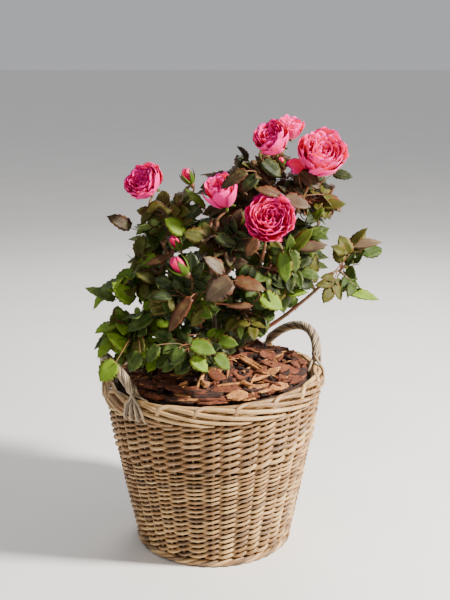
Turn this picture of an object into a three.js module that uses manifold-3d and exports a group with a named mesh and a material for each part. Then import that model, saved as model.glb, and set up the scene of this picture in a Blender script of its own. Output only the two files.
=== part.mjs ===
// A potted rose bush in a round wicker basket with two roped handles.
// Millimetres. The origin is the centre of the basket's flat underside, +Z is up
// and -Y is the side that faces the viewer.
import * as THREE from 'three';
import Module from 'manifold-3d';

const wasm = await Module();
wasm.setup();
const Manifold = wasm.Manifold;

// Clearances
const GAP = 0.3;
const TIP_GAP = 0.34;
const LEAF_CLEARANCE = 0.4;

// Basket
const FOOT_RADIUS = 138;
const RIM_RADIUS = 196;
const WALL_RIM_RADIUS = 191.5;
const WALL_TOP = 281;
const WALL_FLARE_POWER = 1.2;
const WALL_THICKNESS = 9;
const STAKE_COUNT = 36;
const WEAVE_ROWS = 24;
const ROD_FACE = 1.2;
const STAKE_FACE = -3.4;
const RIM_SLANT = 0.046;
const BASE_THICKNESS = 8;
const WALE_HEIGHT = 13;
const WALE_WIDTH = 10;
const BORDER_HEIGHT = 31;
const BORDER_WIDTH = 23;
const BORDER_TWISTS = 11;

const HANDLE_RADIUS = 8.5;

// Room for fingers under a handle: degrees past its feet, and millimetres in from the mulch's edge
const FEET_ROOM = 10;
const FINGER_ROOM = 60;

// Handles: the middle of each on the rim, half its spread in degrees, its rise and lean
const HANDLES = [
  { name: 'handle_right', middle: 31, spread: 26, rise: 51, lean: 12 },
  { name: 'handle_left', middle: 204, spread: 23, rise: 60, lean: 12 },
];

// Filling
const COMPOST_TOP = 262;
const MULCH_RADIUS = 172.5;
const MULCH_EDGE_DROP = 7;
const MULCH_PEAK = 350;
const CHIP_COUNT = 14;

// Plant
const STOCK = { x: 8, y: 6, foot: 14, waist: 11.5, swelling: 19, top: 362 };
const CANE_SIDES = 5;
const CANE_SEGMENTS = 6;
const TWIG_RADIUS = 1.5;
const PETAL_LOBES = 5;
const LEAFLET_LENGTH = 62;
const LEAF_STALK = 0.55;
const LEAFLET_WIDTH = 0.64;
const LEAFLET_THICKNESS = 1.7;
const LEAF_SIMPLIFY = 0.25;
const CROWN_AXIS = new THREE.Vector3(25, 0, 470);

// Colours with roughness
const LOOKS = {
  wicker: [0xa8845a, 0.72],
  border: [0xb08a58, 0.7],
  handle: [0x8d775c, 0.78],
  compost: [0x2c2019, 0.95],
  bark: [0x7a4126, 0.9],
  stock: [0x5d4a34, 0.85],
  cane: [0x5c4a2c, 0.6],
  leaf: [0x3f6b2a, 0.5],
  bright: [0x6f9c3a, 0.5],
  bronze: [0x5b4a33, 0.45],
  petal: [0xe0356b, 0.55],
};

const v = (x, y, z) => new THREE.Vector3(x, y, z);
const turn = (degrees) => THREE.MathUtils.degToRad(degrees);
const around = (radius, angle, z) => v(radius * Math.cos(angle), radius * Math.sin(angle), z);

// The same numbers every time for the same seed.
function seeded(seed) {
  let state = seed >>> 0;
  return () => {
    state = (state + 0x6d2b79f5) >>> 0;
    let mixed = Math.imul(state ^ (state >>> 15), 1 | state);
    mixed = (mixed + Math.imul(mixed ^ (mixed >>> 7), 61 | mixed)) ^ mixed;
    return ((mixed ^ (mixed >>> 14)) >>> 0) / 4294967296;
  };
}

// A closed solid from corner points and triangles, faces outward.
function solidFrom(points, triangles) {
  let volume = 0;
  for (const [a, b, c] of triangles) {
    volume += points[a].dot(points[b].clone().cross(points[c]));
  }
  const faces = volume < 0 ? triangles.map(([a, b, c]) => [a, c, b]) : triangles;
  return new Manifold(new wasm.Mesh({
    numProp: 3,
    vertProperties: new Float32Array(points.flatMap((p) => [p.x, p.y, p.z])),
    triVerts: new Uint32Array(faces.flat()),
  }));
}

// Rings of equal length joined by strips, with flat ends or closed on itself.
function loft(rings, closed = false) {
  const sides = rings[0].length;
  const points = rings.flat();
  const triangles = [];
  const bands = closed ? rings.length : rings.length - 1;
  for (let i = 0; i < bands; i += 1) {
    const low = i * sides;
    const high = ((i + 1) % rings.length) * sides;
    for (let j = 0; j < sides; j += 1) {
      const next = (j + 1) % sides;
      triangles.push([low + j, low + next, high + next]);
      triangles.push([low + j, high + next, high + j]);
    }
  }
  if (!closed) {
    const last = (rings.length - 1) * sides;
    for (let j = 1; j < sides - 1; j += 1) {
      triangles.push([0, j + 1, j]);
      triangles.push([last, last + j, last + j + 1]);
    }
  }
  return solidFrom(points, triangles);
}

// Rings across a path, kept from turning about it.
function ringsAlong(points, radiusAt, sides, twistAt = () => 0, headings = null) {
  const rings = [];
  let side = null;
  points.forEach((point, i) => {
    const before = points[Math.max(i - 1, 0)];
    const after = points[Math.min(i + 1, points.length - 1)];
    const along = headings ? headings[i] : after.clone().sub(before).normalize();
    if (!side) {
      side = Math.abs(along.z) < 0.9 ? v(0, 0, 1) : v(1, 0, 0);
    }
    side = side.clone().sub(along.clone().multiplyScalar(side.dot(along))).normalize();
    const other = along.clone().cross(side);
    const ring = [];
    for (let j = 0; j < sides; j += 1) {
      const angle = (j / sides) * Math.PI * 2 + twistAt(i);
      const radius = radiusAt(i, j, angle);
      ring.push(point.clone()
        .addScaledVector(side, radius * Math.cos(angle))
        .addScaledVector(other, radius * Math.sin(angle)));
    }
    rings.push(ring);
  });
  return rings;
}

function taperedTube(points, start, end, sides) {
  const last = points.length - 1;
  return loft(ringsAlong(points, (i) => start + (end - start) * (i / last), sides));
}

function curvedTube(curve, steps, start, end, sides) {
  const shares = Array.from({ length: steps + 1 }, (_, i) => i / steps);
  const points = shares.map((share) => curve.getPointAt(share));
  const headings = shares.map((share) => curve.getTangentAt(share));
  return loft(ringsAlong(points, (i) => start + (end - start) * shares[i], sides, () => 0, headings));
}

function bezier(a, b, c, d) {
  return new THREE.CubicBezierCurve3(a, b, c, d);
}

function joined(solids) {
  return solids.length > 1 ? Manifold.union(solids) : solids[0];
}

// The largest piece of a solid, its shortest edges gathered in.
function largestPiece(solid, shortest = 0.05) {
  const pieces = solid.simplify(shortest).decompose();
  pieces.sort((a, b) => b.volume() - a.volume());
  return pieces[0];
}

// The basket

function rimHeight(x) {
  return WALL_TOP + RIM_SLANT * x;
}

function wallRadius(z, top = WALL_TOP) {
  const rise = THREE.MathUtils.clamp(z / top, 0, 1);
  return FOOT_RADIUS + (WALL_RIM_RADIUS - FOOT_RADIUS) * (1 - (1 - rise) ** WALL_FLARE_POWER);
}

function makeBase() {
  const radius = FOOT_RADIUS - WALE_WIDTH / 2 - 2 * GAP;
  const sides = 36;
  const rings = [0, BASE_THICKNESS].map((z) => {
    return Array.from({ length: sides }, (_, i) => around(radius, (i / sides) * Math.PI * 2, z));
  });
  return loft(rings);
}

function makeWale() {
  const rings = [];
  const steps = 36;
  for (let i = 0; i < steps; i += 1) {
    const angle = (i / steps) * Math.PI * 2;
    const swell = i % 2 ? 0.9 : -0.9;
    const inner = FOOT_RADIUS - WALE_WIDTH / 2;
    const outer = FOOT_RADIUS + WALE_WIDTH / 2;
    rings.push([
      around(inner, angle, 0),
      around(outer - 2, angle, 0),
      around(outer + swell, angle, WALE_HEIGHT * 0.45),
      around(outer - 2, angle, WALE_HEIGHT),
      around(inner, angle, WALE_HEIGHT),
    ]);
  }
  return loft(rings, true);
}

// The rods stand out where they pass in front of a stake, by turns from one stake to
// the next and from one row to the next.
function makeWall() {
  const rings = [];
  const bottom = WALE_HEIGHT + GAP;
  for (let i = 0; i < STAKE_COUNT; i += 1) {
    const angle = (i / STAKE_COUNT) * Math.PI * 2;
    const top = rimHeight(RIM_RADIUS * Math.cos(angle)) - GAP;
    const ring = [];
    for (let row = 0; row <= WEAVE_ROWS; row += 1) {
      const z = bottom + (top - bottom) * (row / WEAVE_ROWS);
      const inFront = row > 0 && row < WEAVE_ROWS && (i + row) % 2 === 0;
      ring.push(around(wallRadius(z, top) + (inFront ? ROD_FACE : STAKE_FACE), angle, z));
    }
    for (const share of [1, 0.5, 0]) {
      const z = bottom + (top - bottom) * share;
      ring.push(around(wallRadius(z, top) - WALL_THICKNESS, angle, z));
    }
    rings.push(ring);
  }
  return loft(rings, true);
}

// Thick rods rolled round one another along the rim.
function makeBorder() {
  const rings = [];
  const steps = 54;
  const sides = 6;
  for (let i = 0; i < steps; i += 1) {
    const angle = (i / steps) * Math.PI * 2;
    const middle = RIM_RADIUS - BORDER_WIDTH / 2 + 1.5;
    const bottom = rimHeight(RIM_RADIUS * Math.cos(angle));
    const ring = [];
    for (let j = 0; j < sides; j += 1) {
      const place = (j / sides) * Math.PI * 2 + Math.PI / 6;
      const swell = 1 + 0.07 * Math.cos(3 * place + BORDER_TWISTS * angle);
      const out = (BORDER_WIDTH / 2) * swell * Math.cos(place);
      const up = (BORDER_HEIGHT / 2) * (Math.sin(place) * swell);
      const z = Math.max(bottom + BORDER_HEIGHT / 2 + up, bottom);
      ring.push(around(middle + out, angle, z));
    }
    rings.push(ring);
  }
  return loft(rings, true);
}

function borderTop(x) {
  return rimHeight(x) + BORDER_HEIGHT;
}

function handlePath(plan) {
  const points = [];
  const steps = 15;
  for (let i = 0; i <= steps; i += 1) {
    const share = i / steps;
    const angle = turn(plan.middle + plan.spread * (1 - 2 * share));
    const lift = Math.sin(Math.PI * share) ** 0.62;
    const radius = RIM_RADIUS - BORDER_WIDTH / 2 + 1.5 + plan.lean * lift;
    const foot = borderTop(radius * Math.cos(angle)) - 1;
    points.push(around(radius, angle, foot + plan.rise * lift));
  }
  return points;
}

function makeHandle(plan, border) {
  const path = handlePath(plan);
  const sunk = [path[0].clone().add(v(0, 0, -8)), ...path, path[path.length - 1].clone().add(v(0, 0, -8))];
  const rings = ringsAlong(sunk, (i, j) => HANDLE_RADIUS * (j % 2 ? 1.06 : 0.9), 6, (i) => i * 0.35);
  return largestPiece(loft(rings).subtract(border));
}

// Whether a place on the mulch lies where fingers reach under a handle.
function underHandle(x, y) {
  const angle = THREE.MathUtils.radToDeg(Math.atan2(y, x));
  return HANDLES.some(({ middle, spread }) => {
    const aside = THREE.MathUtils.euclideanModulo(angle - middle + 180, 360) - 180;
    return Math.abs(aside) < spread + FEET_ROOM && Math.hypot(x, y) > MULCH_RADIUS - FINGER_ROOM;
  });
}

// Where fingers pass through a handle, kept clear of leaves.
function handleLoop(plan) {
  const path = handlePath(plan).map((p) => p.clone());
  return loft(ringsAlong(path, () => HANDLE_RADIUS + 14, 6));
}

function makeCompost() {
  const bottom = BASE_THICKNESS + GAP;
  const sides = 24;
  const levels = [bottom, WALE_HEIGHT + 2, COMPOST_TOP];
  const rings = levels.map((z) => {
    const low = Math.max(z, WALE_HEIGHT + 2);
    return Array.from({ length: sides }, (_, i) => {
      const angle = (i / sides) * Math.PI * 2;
      const top = rimHeight(RIM_RADIUS * Math.cos(angle)) - GAP;
      const limit = z < WALE_HEIGHT ? FOOT_RADIUS - WALE_WIDTH / 2 - 1 : 1000;
      return around(Math.min(wallRadius(low, top) - WALL_THICKNESS - 3, limit), angle, z);
    });
  });
  return loft(rings);
}

// The mulch

function mulchHeight(x, y) {
  const distance = Math.min(Math.hypot(x, y) / MULCH_RADIUS, 1);
  const edge = borderTop(x) - MULCH_EDGE_DROP;
  const ripple = 2.5 * Math.sin(x * 0.075 + 1) * Math.cos(y * 0.083);
  return edge + (MULCH_PEAK - edge) * (1 - distance ** 2.2) + ripple * (1 - distance);
}

function makeMulchBody(clearance) {
  const rings = [];
  const turnRing = (radius, heightOf) => Array.from({ length: 30 }, (_, i) => {
    const flat = around(radius, (i / 30) * Math.PI * 2, 0);
    flat.z = heightOf(flat);
    return flat;
  });
  rings.push(turnRing(MULCH_RADIUS, () => COMPOST_TOP + GAP));
  for (const share of [1, 0.62]) {
    rings.push(turnRing(MULCH_RADIUS * share, (p) => mulchHeight(p.x, p.y) + clearance));
  }
  return loft(rings);
}

function makeChip(x, y, random) {
  const length = 26 + 22 * random();
  const width = 11 + 10 * random();
  const depth = 6 + 4 * random();
  const heading = random() * Math.PI;
  const slope = (random() - 0.5) * 0.5;
  const rock = (random() - 0.5) * 0.4;
  const box = new THREE.Matrix4().makeRotationFromEuler(new THREE.Euler(slope, rock, heading));
  const points = [];
  for (const [sx, sy, sz] of [[-1, -1, -1], [1, -1, -1], [1, 1, -1], [-1, 1, -1],
    [-1, -1, 1], [1, -1, 1], [1, 1, 1], [-1, 1, 1]]) {
    const narrow = sx > 0 ? 0.55 : 1;
    points.push(v(sx * length / 2, sy * narrow * width / 2, sz * depth / 2).applyMatrix4(box));
  }
  const centre = v(x, y, mulchHeight(x, y) + 1);
  return solidFrom(points.map((p) => p.add(centre)), [[0, 2, 1], [0, 3, 2], [4, 5, 6], [4, 6, 7],
    [0, 1, 5], [0, 5, 4], [1, 2, 6], [1, 6, 5], [2, 3, 7], [2, 7, 6], [3, 0, 4], [3, 4, 7]]);
}

// The limbs

function stockRings(clearance) {
  const levels = [
    [COMPOST_TOP + 2 * GAP, STOCK.foot],
    [300, STOCK.waist],
    [330, STOCK.waist + 1],
    [343, STOCK.swelling],
    [355, STOCK.swelling - 2],
    [STOCK.top, 9],
  ];
  const rings = levels.map(([z, radius], level) => {
    const reach = level === levels.length - 1 ? clearance : 0;
    return Array.from({ length: 9 }, (_, i) => {
      const angle = (i / 9) * Math.PI * 2;
      const knob = 1 + 0.08 * Math.sin(angle * 3 + level);
      return around(radius * knob + clearance * 1.7, angle, z + reach).add(v(STOCK.x, STOCK.y, 0));
    });
  });
  if (clearance > 0) {
    rings.unshift(rings[0].map((point) => point.clone().add(v(0, 0, -5))));
  }
  return rings;
}

// Each cane: the side of the stock it leaves from, two control points and its tip.
const CANES = {
  cane_right: {
    side: -15, lift: 0, aim: [[62, -8, 372], [150, -20, 432], [212, -14, 500]], radius: [4.4, 2.4],
  },
  cane_top_right: {
    side: 25, lift: 2, aim: [[56, 24, 396], [120, -16, 560], [170, -10, 662]], radius: [4.7, 2.6],
  },
  cane_top_pair: {
    side: 66, lift: 2, aim: [[34, 52, 430], [84, 44, 590], [106, 20, 684]], radius: [4.6, 2.5],
  },
  cane_back: {
    side: 106, lift: 1, aim: [[8, 62, 400], [52, 98, 470], [74, 112, 545]], radius: [4.6, 2.4],
  },
  cane_back_left: {
    side: 146, lift: 0, aim: [[-24, 62, 380], [-70, 104, 410], [-92, 120, 458]], radius: [4.4, 2.4],
  },
  cane_left: {
    side: 186, lift: 1, aim: [[-34, 12, 430], [-84, 8, 520], [-110, -2, 612]], radius: [4.8, 2.4],
  },
  cane_low_left: {
    side: 226, lift: 0, aim: [[-46, -30, 374], [-104, -44, 394], [-146, -56, 436]],
    radius: [4.2, 2.4],
  },
  cane_front: {
    side: 266, lift: 0, aim: [[2, -50, 380], [-22, -88, 408], [-30, -106, 462]], radius: [4.2, 2.3],
  },
  cane_centre: {
    side: 306, lift: 1, aim: [[36, -38, 404], [76, -66, 486], [88, -80, 562]], radius: [4.8, 2.5],
  },
  cane_centre_left: {
    side: 0, lift: 9, aim: [[-4, -10, 430], [-10, -38, 516], [6, -48, 594]], radius: [4.4, 2.3],
  },
};

function caneCurve(plan) {
  const inset = plan.lift > 5 ? 0 : 15.5;
  const start = around(inset, turn(plan.side), 350 + plan.lift).add(v(STOCK.x, STOCK.y, 0));
  return bezier(start, ...plan.aim.map((p) => v(...p)));
}

function makeCane(plan, clearance) {
  const [foot, tip] = plan.radius.map((radius) => radius + clearance * 1.3);
  return curvedTube(caneCurve(plan), CANE_SEGMENTS, foot, tip, CANE_SIDES);
}

// The blooms

// Each bloom: where it sits, the way it faces, its width, how open it is, its cane.
const BLOOMS = {
  bloom_top_right: {
    at: [185, -20, 705], face: [0.1, -0.85, 0.5], width: 88, open: 1, from: 'cane_top_right',
    share: 1,
  },
  bloom_top_left: {
    at: [100, -20, 732], face: [-0.35, -0.6, 0.7], width: 66, open: 0.7, from: 'cane_top_pair',
    share: 1,
  },
  bloom_top_back: {
    at: [136, 48, 746], face: [0.25, 0.1, 0.95], width: 50, open: 0.5, from: 'cane_top_pair',
    share: 0.86,
  },
  bloom_centre: {
    at: [95, -104, 610], face: [0, -0.88, 0.47], width: 86, open: 1, from: 'cane_centre', share: 1,
  },
  bloom_centre_left: {
    at: [13, -62, 648], face: [-0.3, -0.5, 0.8], width: 62, open: 0.35, from: 'cane_centre_left',
    share: 1,
  },
  bloom_left: {
    at: [-118, -12, 657], face: [-0.5, -0.45, 0.72], width: 70, open: 0.75, from: 'cane_left',
    share: 1,
  },
  bloom_back: {
    at: [86, 138, 588], face: [0.2, 0.75, 0.6], width: 70, open: 0.8, from: 'cane_back', share: 1,
  },
  bloom_back_left: {
    at: [-104, 142, 500], face: [-0.3, 0.75, 0.6], width: 62, open: 0.7, from: 'cane_back_left',
    share: 1,
  },
};

function spindle(frame, levels, sides) {
  const rings = levels.map(([z, radius]) => {
    return Array.from({ length: sides }, (_, i) => {
      return around(radius, (i / sides) * Math.PI * 2, z).applyMatrix4(frame);
    });
  });
  return loft(rings);
}

function facing(place, direction) {
  const frame = new THREE.Matrix4().makeRotationFromQuaternion(
    new THREE.Quaternion().setFromUnitVectors(v(0, 0, 1), direction.clone().normalize()));
  return frame.setPosition(place);
}

// Rings of petals in steps, each ring's lobes between those of the one outside it,
// fused on its stalk.
function makeBloom(plan, canes) {
  const face = v(...plan.face).normalize();
  const half = plan.width / 2;
  const depth = plan.width * (1.15 - 0.62 * plan.open);
  const base = v(...plan.at).addScaledVector(face, -depth * 0.55);
  const frame = facing(base, face);
  const levels = [
    [-8, 2.4, 0],
    [-2, 6, 0],
    [depth * 0.2, half * 0.66, 0.04],
    [depth * 0.6, half * 0.93, 0.09],
    [depth * 0.57, half * 0.72, -0.05],
    [depth * 0.86, half * 0.68, -0.12],
    [depth * 0.76, half * 0.46, 0.1],
    [depth, half * 0.38, 0.14],
    [depth * 0.88, half * 0.14, -0.1],
  ];
  const rings = levels.map(([z, radius, lobe]) => {
    return Array.from({ length: PETAL_LOBES * 2 }, (_, i) => {
      const wave = i % 2 ? -lobe : lobe;
      const rise = wave * half * 0.5;
      return around(radius * (1 + wave), (i / PETAL_LOBES) * Math.PI, z + rise).applyMatrix4(frame);
    });
  });
  const cane = CANES[plan.from];
  const curve = caneCurve(cane);
  const start = curve.getPointAt(plan.share);
  const along = curve.getTangentAt(plan.share);
  if (plan.share === 1) {
    start.addScaledVector(along, TIP_GAP);
  }
  const end = base.clone().addScaledVector(face, -5);
  const span = start.distanceTo(end) * 0.4;
  const path = bezier(start, start.clone().addScaledVector(along, span),
    end.clone().addScaledVector(face, -span), end);
  let stalk = curvedTube(path, 4, 2.2, 1.9, 4);
  if (plan.share < 1) {
    stalk = largestPiece(stalk.subtract(canes[`${plan.from}_grown`]));
  }
  return largestPiece(joined([loft(rings), stalk]));
}

// The foliage

// Each mass: its middle, its reach, the cane and the place on it where its stem
// leaves, the look, and the tips that its outer leaves must reach.
const MASSES = {
  leaves_top_right: {
    centre: [172, 8, 628], reach: 62, from: 'cane_top_right', share: 0.8,
    look: 'bronze', seed: 11, leaves: 6,
    tips: [[238, 0, 652], [214, 30, 600], [226, -28, 622], [150, -60, 640], [140, 30, 700]],
  },
  leaves_top_middle: {
    centre: [72, 10, 660], reach: 62, from: 'cane_top_pair', share: 0.82,
    look: 'bronze', seed: 12, leaves: 6,
    tips: [[70, -40, 700], [40, -10, 690], [52, 40, 700]],
  },
  leaves_centre: {
    centre: [112, -72, 520], reach: 62, from: 'cane_centre', share: 0.72,
    look: 'leaf', seed: 13, leaves: 7,
    tips: [[126, -100, 452], [150, -90, 520], [70, -120, 500]],
  },
  leaves_middle: {
    centre: [26, -74, 560], reach: 56, from: 'cane_centre_left', share: 0.7,
    look: 'bronze', seed: 14, leaves: 5,
    tips: [[44, -100, 590], [10, -120, 560], [-30, -100, 590]],
  },
  leaves_upper_left: {
    centre: [-62, -6, 590], reach: 66, from: 'cane_left', share: 0.74,
    look: 'leaf', seed: 15, leaves: 6,
    tips: [[-120, -20, 600], [-60, -60, 610], [-128, 30, 580]],
    buds: [[-41, 0, 668], [-76, -48, 560]],
  },
  leaves_left: {
    centre: [-140, -6, 500], reach: 66, from: 'cane_left', share: 0.5,
    look: 'bright', seed: 45, leaves: 7,
    tips: [[-220, -20, 469], [-190, -50, 485], [-205, 30, 510]],
  },
  leaves_low_left: {
    centre: [-140, -62, 405], reach: 66, from: 'cane_low_left', share: 0.8,
    look: 'bright', seed: 53, leaves: 8,
    tips: [[-196, -90, 392], [-190, -50, 420], [-150, -128, 385], [-165, 10, 400]],
  },
  leaves_front_middle: {
    centre: [-44, -96, 480], reach: 64, from: 'cane_front', share: 1,
    look: 'leaf', seed: 18, leaves: 7,
    tips: [[-20, -150, 470], [-90, -130, 490], [-60, -150, 440]],
    buds: [[-54, -100, 528]],
  },
  leaves_low_front: {
    centre: [-34, -122, 392], reach: 62, from: 'cane_front', share: 0.6,
    look: 'leaf', seed: 19, leaves: 8,
    tips: [[-24, -165, 372], [-80, -150, 376], [20, -150, 380], [50, -120, 392]],
  },
  leaves_low_middle: {
    centre: [58, -62, 440], reach: 54, from: 'cane_centre', share: 0.42,
    look: 'leaf', seed: 20, leaves: 6,
    tips: [[70, -120, 424], [100, -60, 412], [40, -130, 440]],
  },
  leaves_right: {
    centre: [150, 0, 545], reach: 60, from: 'cane_top_right', share: 0.5,
    look: 'leaf', seed: 43, leaves: 7,
    tips: [[212, -6, 588], [190, -50, 560], [120, -70, 560]],
  },
  leaves_far_right: {
    centre: [225, -6, 500], reach: 74, from: 'cane_right', share: 1,
    look: 'bright', seed: 22, leaves: 7,
    tips: [[297, 0, 554], [262, -30, 470], [268, 20, 462], [240, -10, 560], [200, -60, 470]],
  },
  leaves_back_right: {
    centre: [130, 92, 500], reach: 84, from: 'cane_back', share: 0.66,
    look: 'leaf', seed: 23, leaves: 7,
    tips: [[210, 110, 500], [150, 170, 490]],
  },
  leaves_back_top: {
    centre: [40, 92, 620], reach: 76, from: 'cane_back', share: 0.9,
    look: 'bronze', seed: 24, leaves: 7,
    tips: [[40, 150, 650], [90, 110, 690], [0, 90, 690]],
  },
  leaves_back_left: {
    centre: [-78, 84, 540], reach: 80, from: 'cane_back_left', share: 0.82,
    look: 'leaf', seed: 25, leaves: 7,
    tips: [[-140, 120, 560], [-90, 160, 560]],
  },
  leaves_back_low: {
    centre: [-30, 128, 420], reach: 80, from: 'cane_back_left', share: 0.55,
    look: 'leaf', seed: 26, leaves: 7,
    tips: [[-130, 130, 410], [-40, 195, 400], [60, 160, 400]],
  },
};

// Whether a point lies in a mass's own space, a small way in from the next one.
function insideSpace(name, point) {
  const own = MASSES[name];
  const centre = v(...own.centre);
  const power = point.distanceToSquared(centre) - own.reach ** 2;
  return Object.entries(MASSES).every(([other, plan]) => {
    if (other === name) {
      return true;
    }
    const place = v(...plan.centre);
    const away = point.distanceToSquared(place) - plan.reach ** 2;
    return power <= away - 2 * LEAF_CLEARANCE * centre.distanceTo(place);
  });
}

// A leaf of three leaflets of eight faces each, their edges lifted, on a stalk that
// runs back through the given places to the twig or stem it grows from.
function leafCorners(places, along, up, size) {
  const side = along.clone().cross(up).normalize();
  const foot = places[places.length - 1];
  const place = (s, t, u) => {
    return foot.clone().addScaledVector(along, s).addScaledVector(side, t).addScaledVector(up, u);
  };
  const stalk = size * LEAF_STALK;
  const droop = -0.1 * stalk;
  const outline = [];
  const bellies = [];
  const leaflet = (heading, length, widest) => {
    const [c, d] = [Math.cos(heading), Math.sin(heading)];
    const half = (length * LEAFLET_WIDTH) / 2;
    const at = (far, wide, u) => {
      return place(stalk + far * c - wide * d, far * d + wide * c, u + droop * (1 + far / size));
    };
    const belly = LEAFLET_THICKNESS / 2;
    outline.push(at(length * widest, half, half * 0.25));
    outline.push(at(length, 0, 0));
    outline.push(at(length * widest, -half, half * 0.25));
    bellies.push(at(length * widest, 0, belly), at(length * widest, 0, -belly));
  };
  outline.push(place(stalk - 3.5, 1.5, droop * 0.8));
  leaflet(turn(76), size * 0.9, 0.45);
  outline.push(place(stalk + 3, 2, droop));
  leaflet(0, size, 0.56);
  outline.push(place(stalk + 3, -2, droop));
  leaflet(turn(-76), size * 0.9, 0.45);
  outline.push(place(stalk - 3.5, -1.5, droop * 0.8));
  const fork = [place(stalk, 0, droop + 1), place(stalk, 0, droop - 1.4)];
  const sections = places.flatMap((centre, i) => {
    const radius = i === places.length - 1 ? 1.2 : TWIG_RADIUS;
    return [[1, 0], [-1, 0], [0, -1]].map(([t, u]) => {
      return centre.clone().addScaledVector(side, t * radius).addScaledVector(up, u * radius);
    });
  });
  return [...outline, ...bellies, ...fork, ...sections];
}

// The corners are 0 to 12 the outline, 13 to 18 the bellies over and under, 19 and 20
// the fork over and under, then three for each section of the stalk.
function leafFaces(sectionCount) {
  const faces = [[21, 23, 22]];
  const section = (i) => [21 + 3 * i, 22 + 3 * i, 23 + 3 * i];
  for (let i = 1; i < sectionCount; i += 1) {
    const [right, left, under] = section(i - 1);
    const [nextRight, nextLeft, nextUnder] = section(i);
    faces.push([right, nextRight, nextUnder], [right, nextUnder, under]);
    faces.push([nextLeft, left, under], [nextLeft, under, nextUnder]);
    faces.push([right, nextLeft, nextRight], [right, left, nextLeft]);
  }
  const [right, left, under] = section(sectionCount - 1);
  for (const below of [0, 1]) {
    const fork = 19 + below;
    const add = (a, b, c) => faces.push(below ? [a, b, c] : [a, c, b]);
    [0, 4, 8].forEach((first, i) => {
      const belly = 13 + 2 * i + below;
      for (let k = first; k < first + 4; k += 1) {
        add(k, k + 1, belly);
      }
      add(first + 4, fork, belly);
      add(fork, first, belly);
    });
    add(right, 0, fork);
    add(12, left, fork);
    if (below) {
      add(under, right, fork);
      add(left, under, fork);
    } else {
      add(left, right, fork);
    }
  }
  return faces;
}

const LEAF_FACES = [1, 2, 3].map(leafFaces);

function makeLeaf(places, along, up, size) {
  const points = leafCorners(places, along, up, size);
  return { solid: solidFrom(points, LEAF_FACES[places.length - 1]), points: points.slice(0, 13) };
}

function boxesMeet(a, b, margin) {
  return [0, 1, 2].every((k) => a.min[k] - margin < b.max[k] && b.min[k] - margin < a.max[k]);
}

function isClear(solid, others, clearance) {
  const box = solid.boundingBox();
  return others.every((other) => {
    const near = boxesMeet(box, other.boundingBox(), clearance);
    return !near || solid.minGap(other, clearance * 2) >= clearance;
  });
}

function overlapsAny(solid, others) {
  const box = solid.boundingBox();
  return others.some((other) => {
    return boxesMeet(box, other.boundingBox(), 0) && !solid.intersect(other).isEmpty();
  });
}

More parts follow.
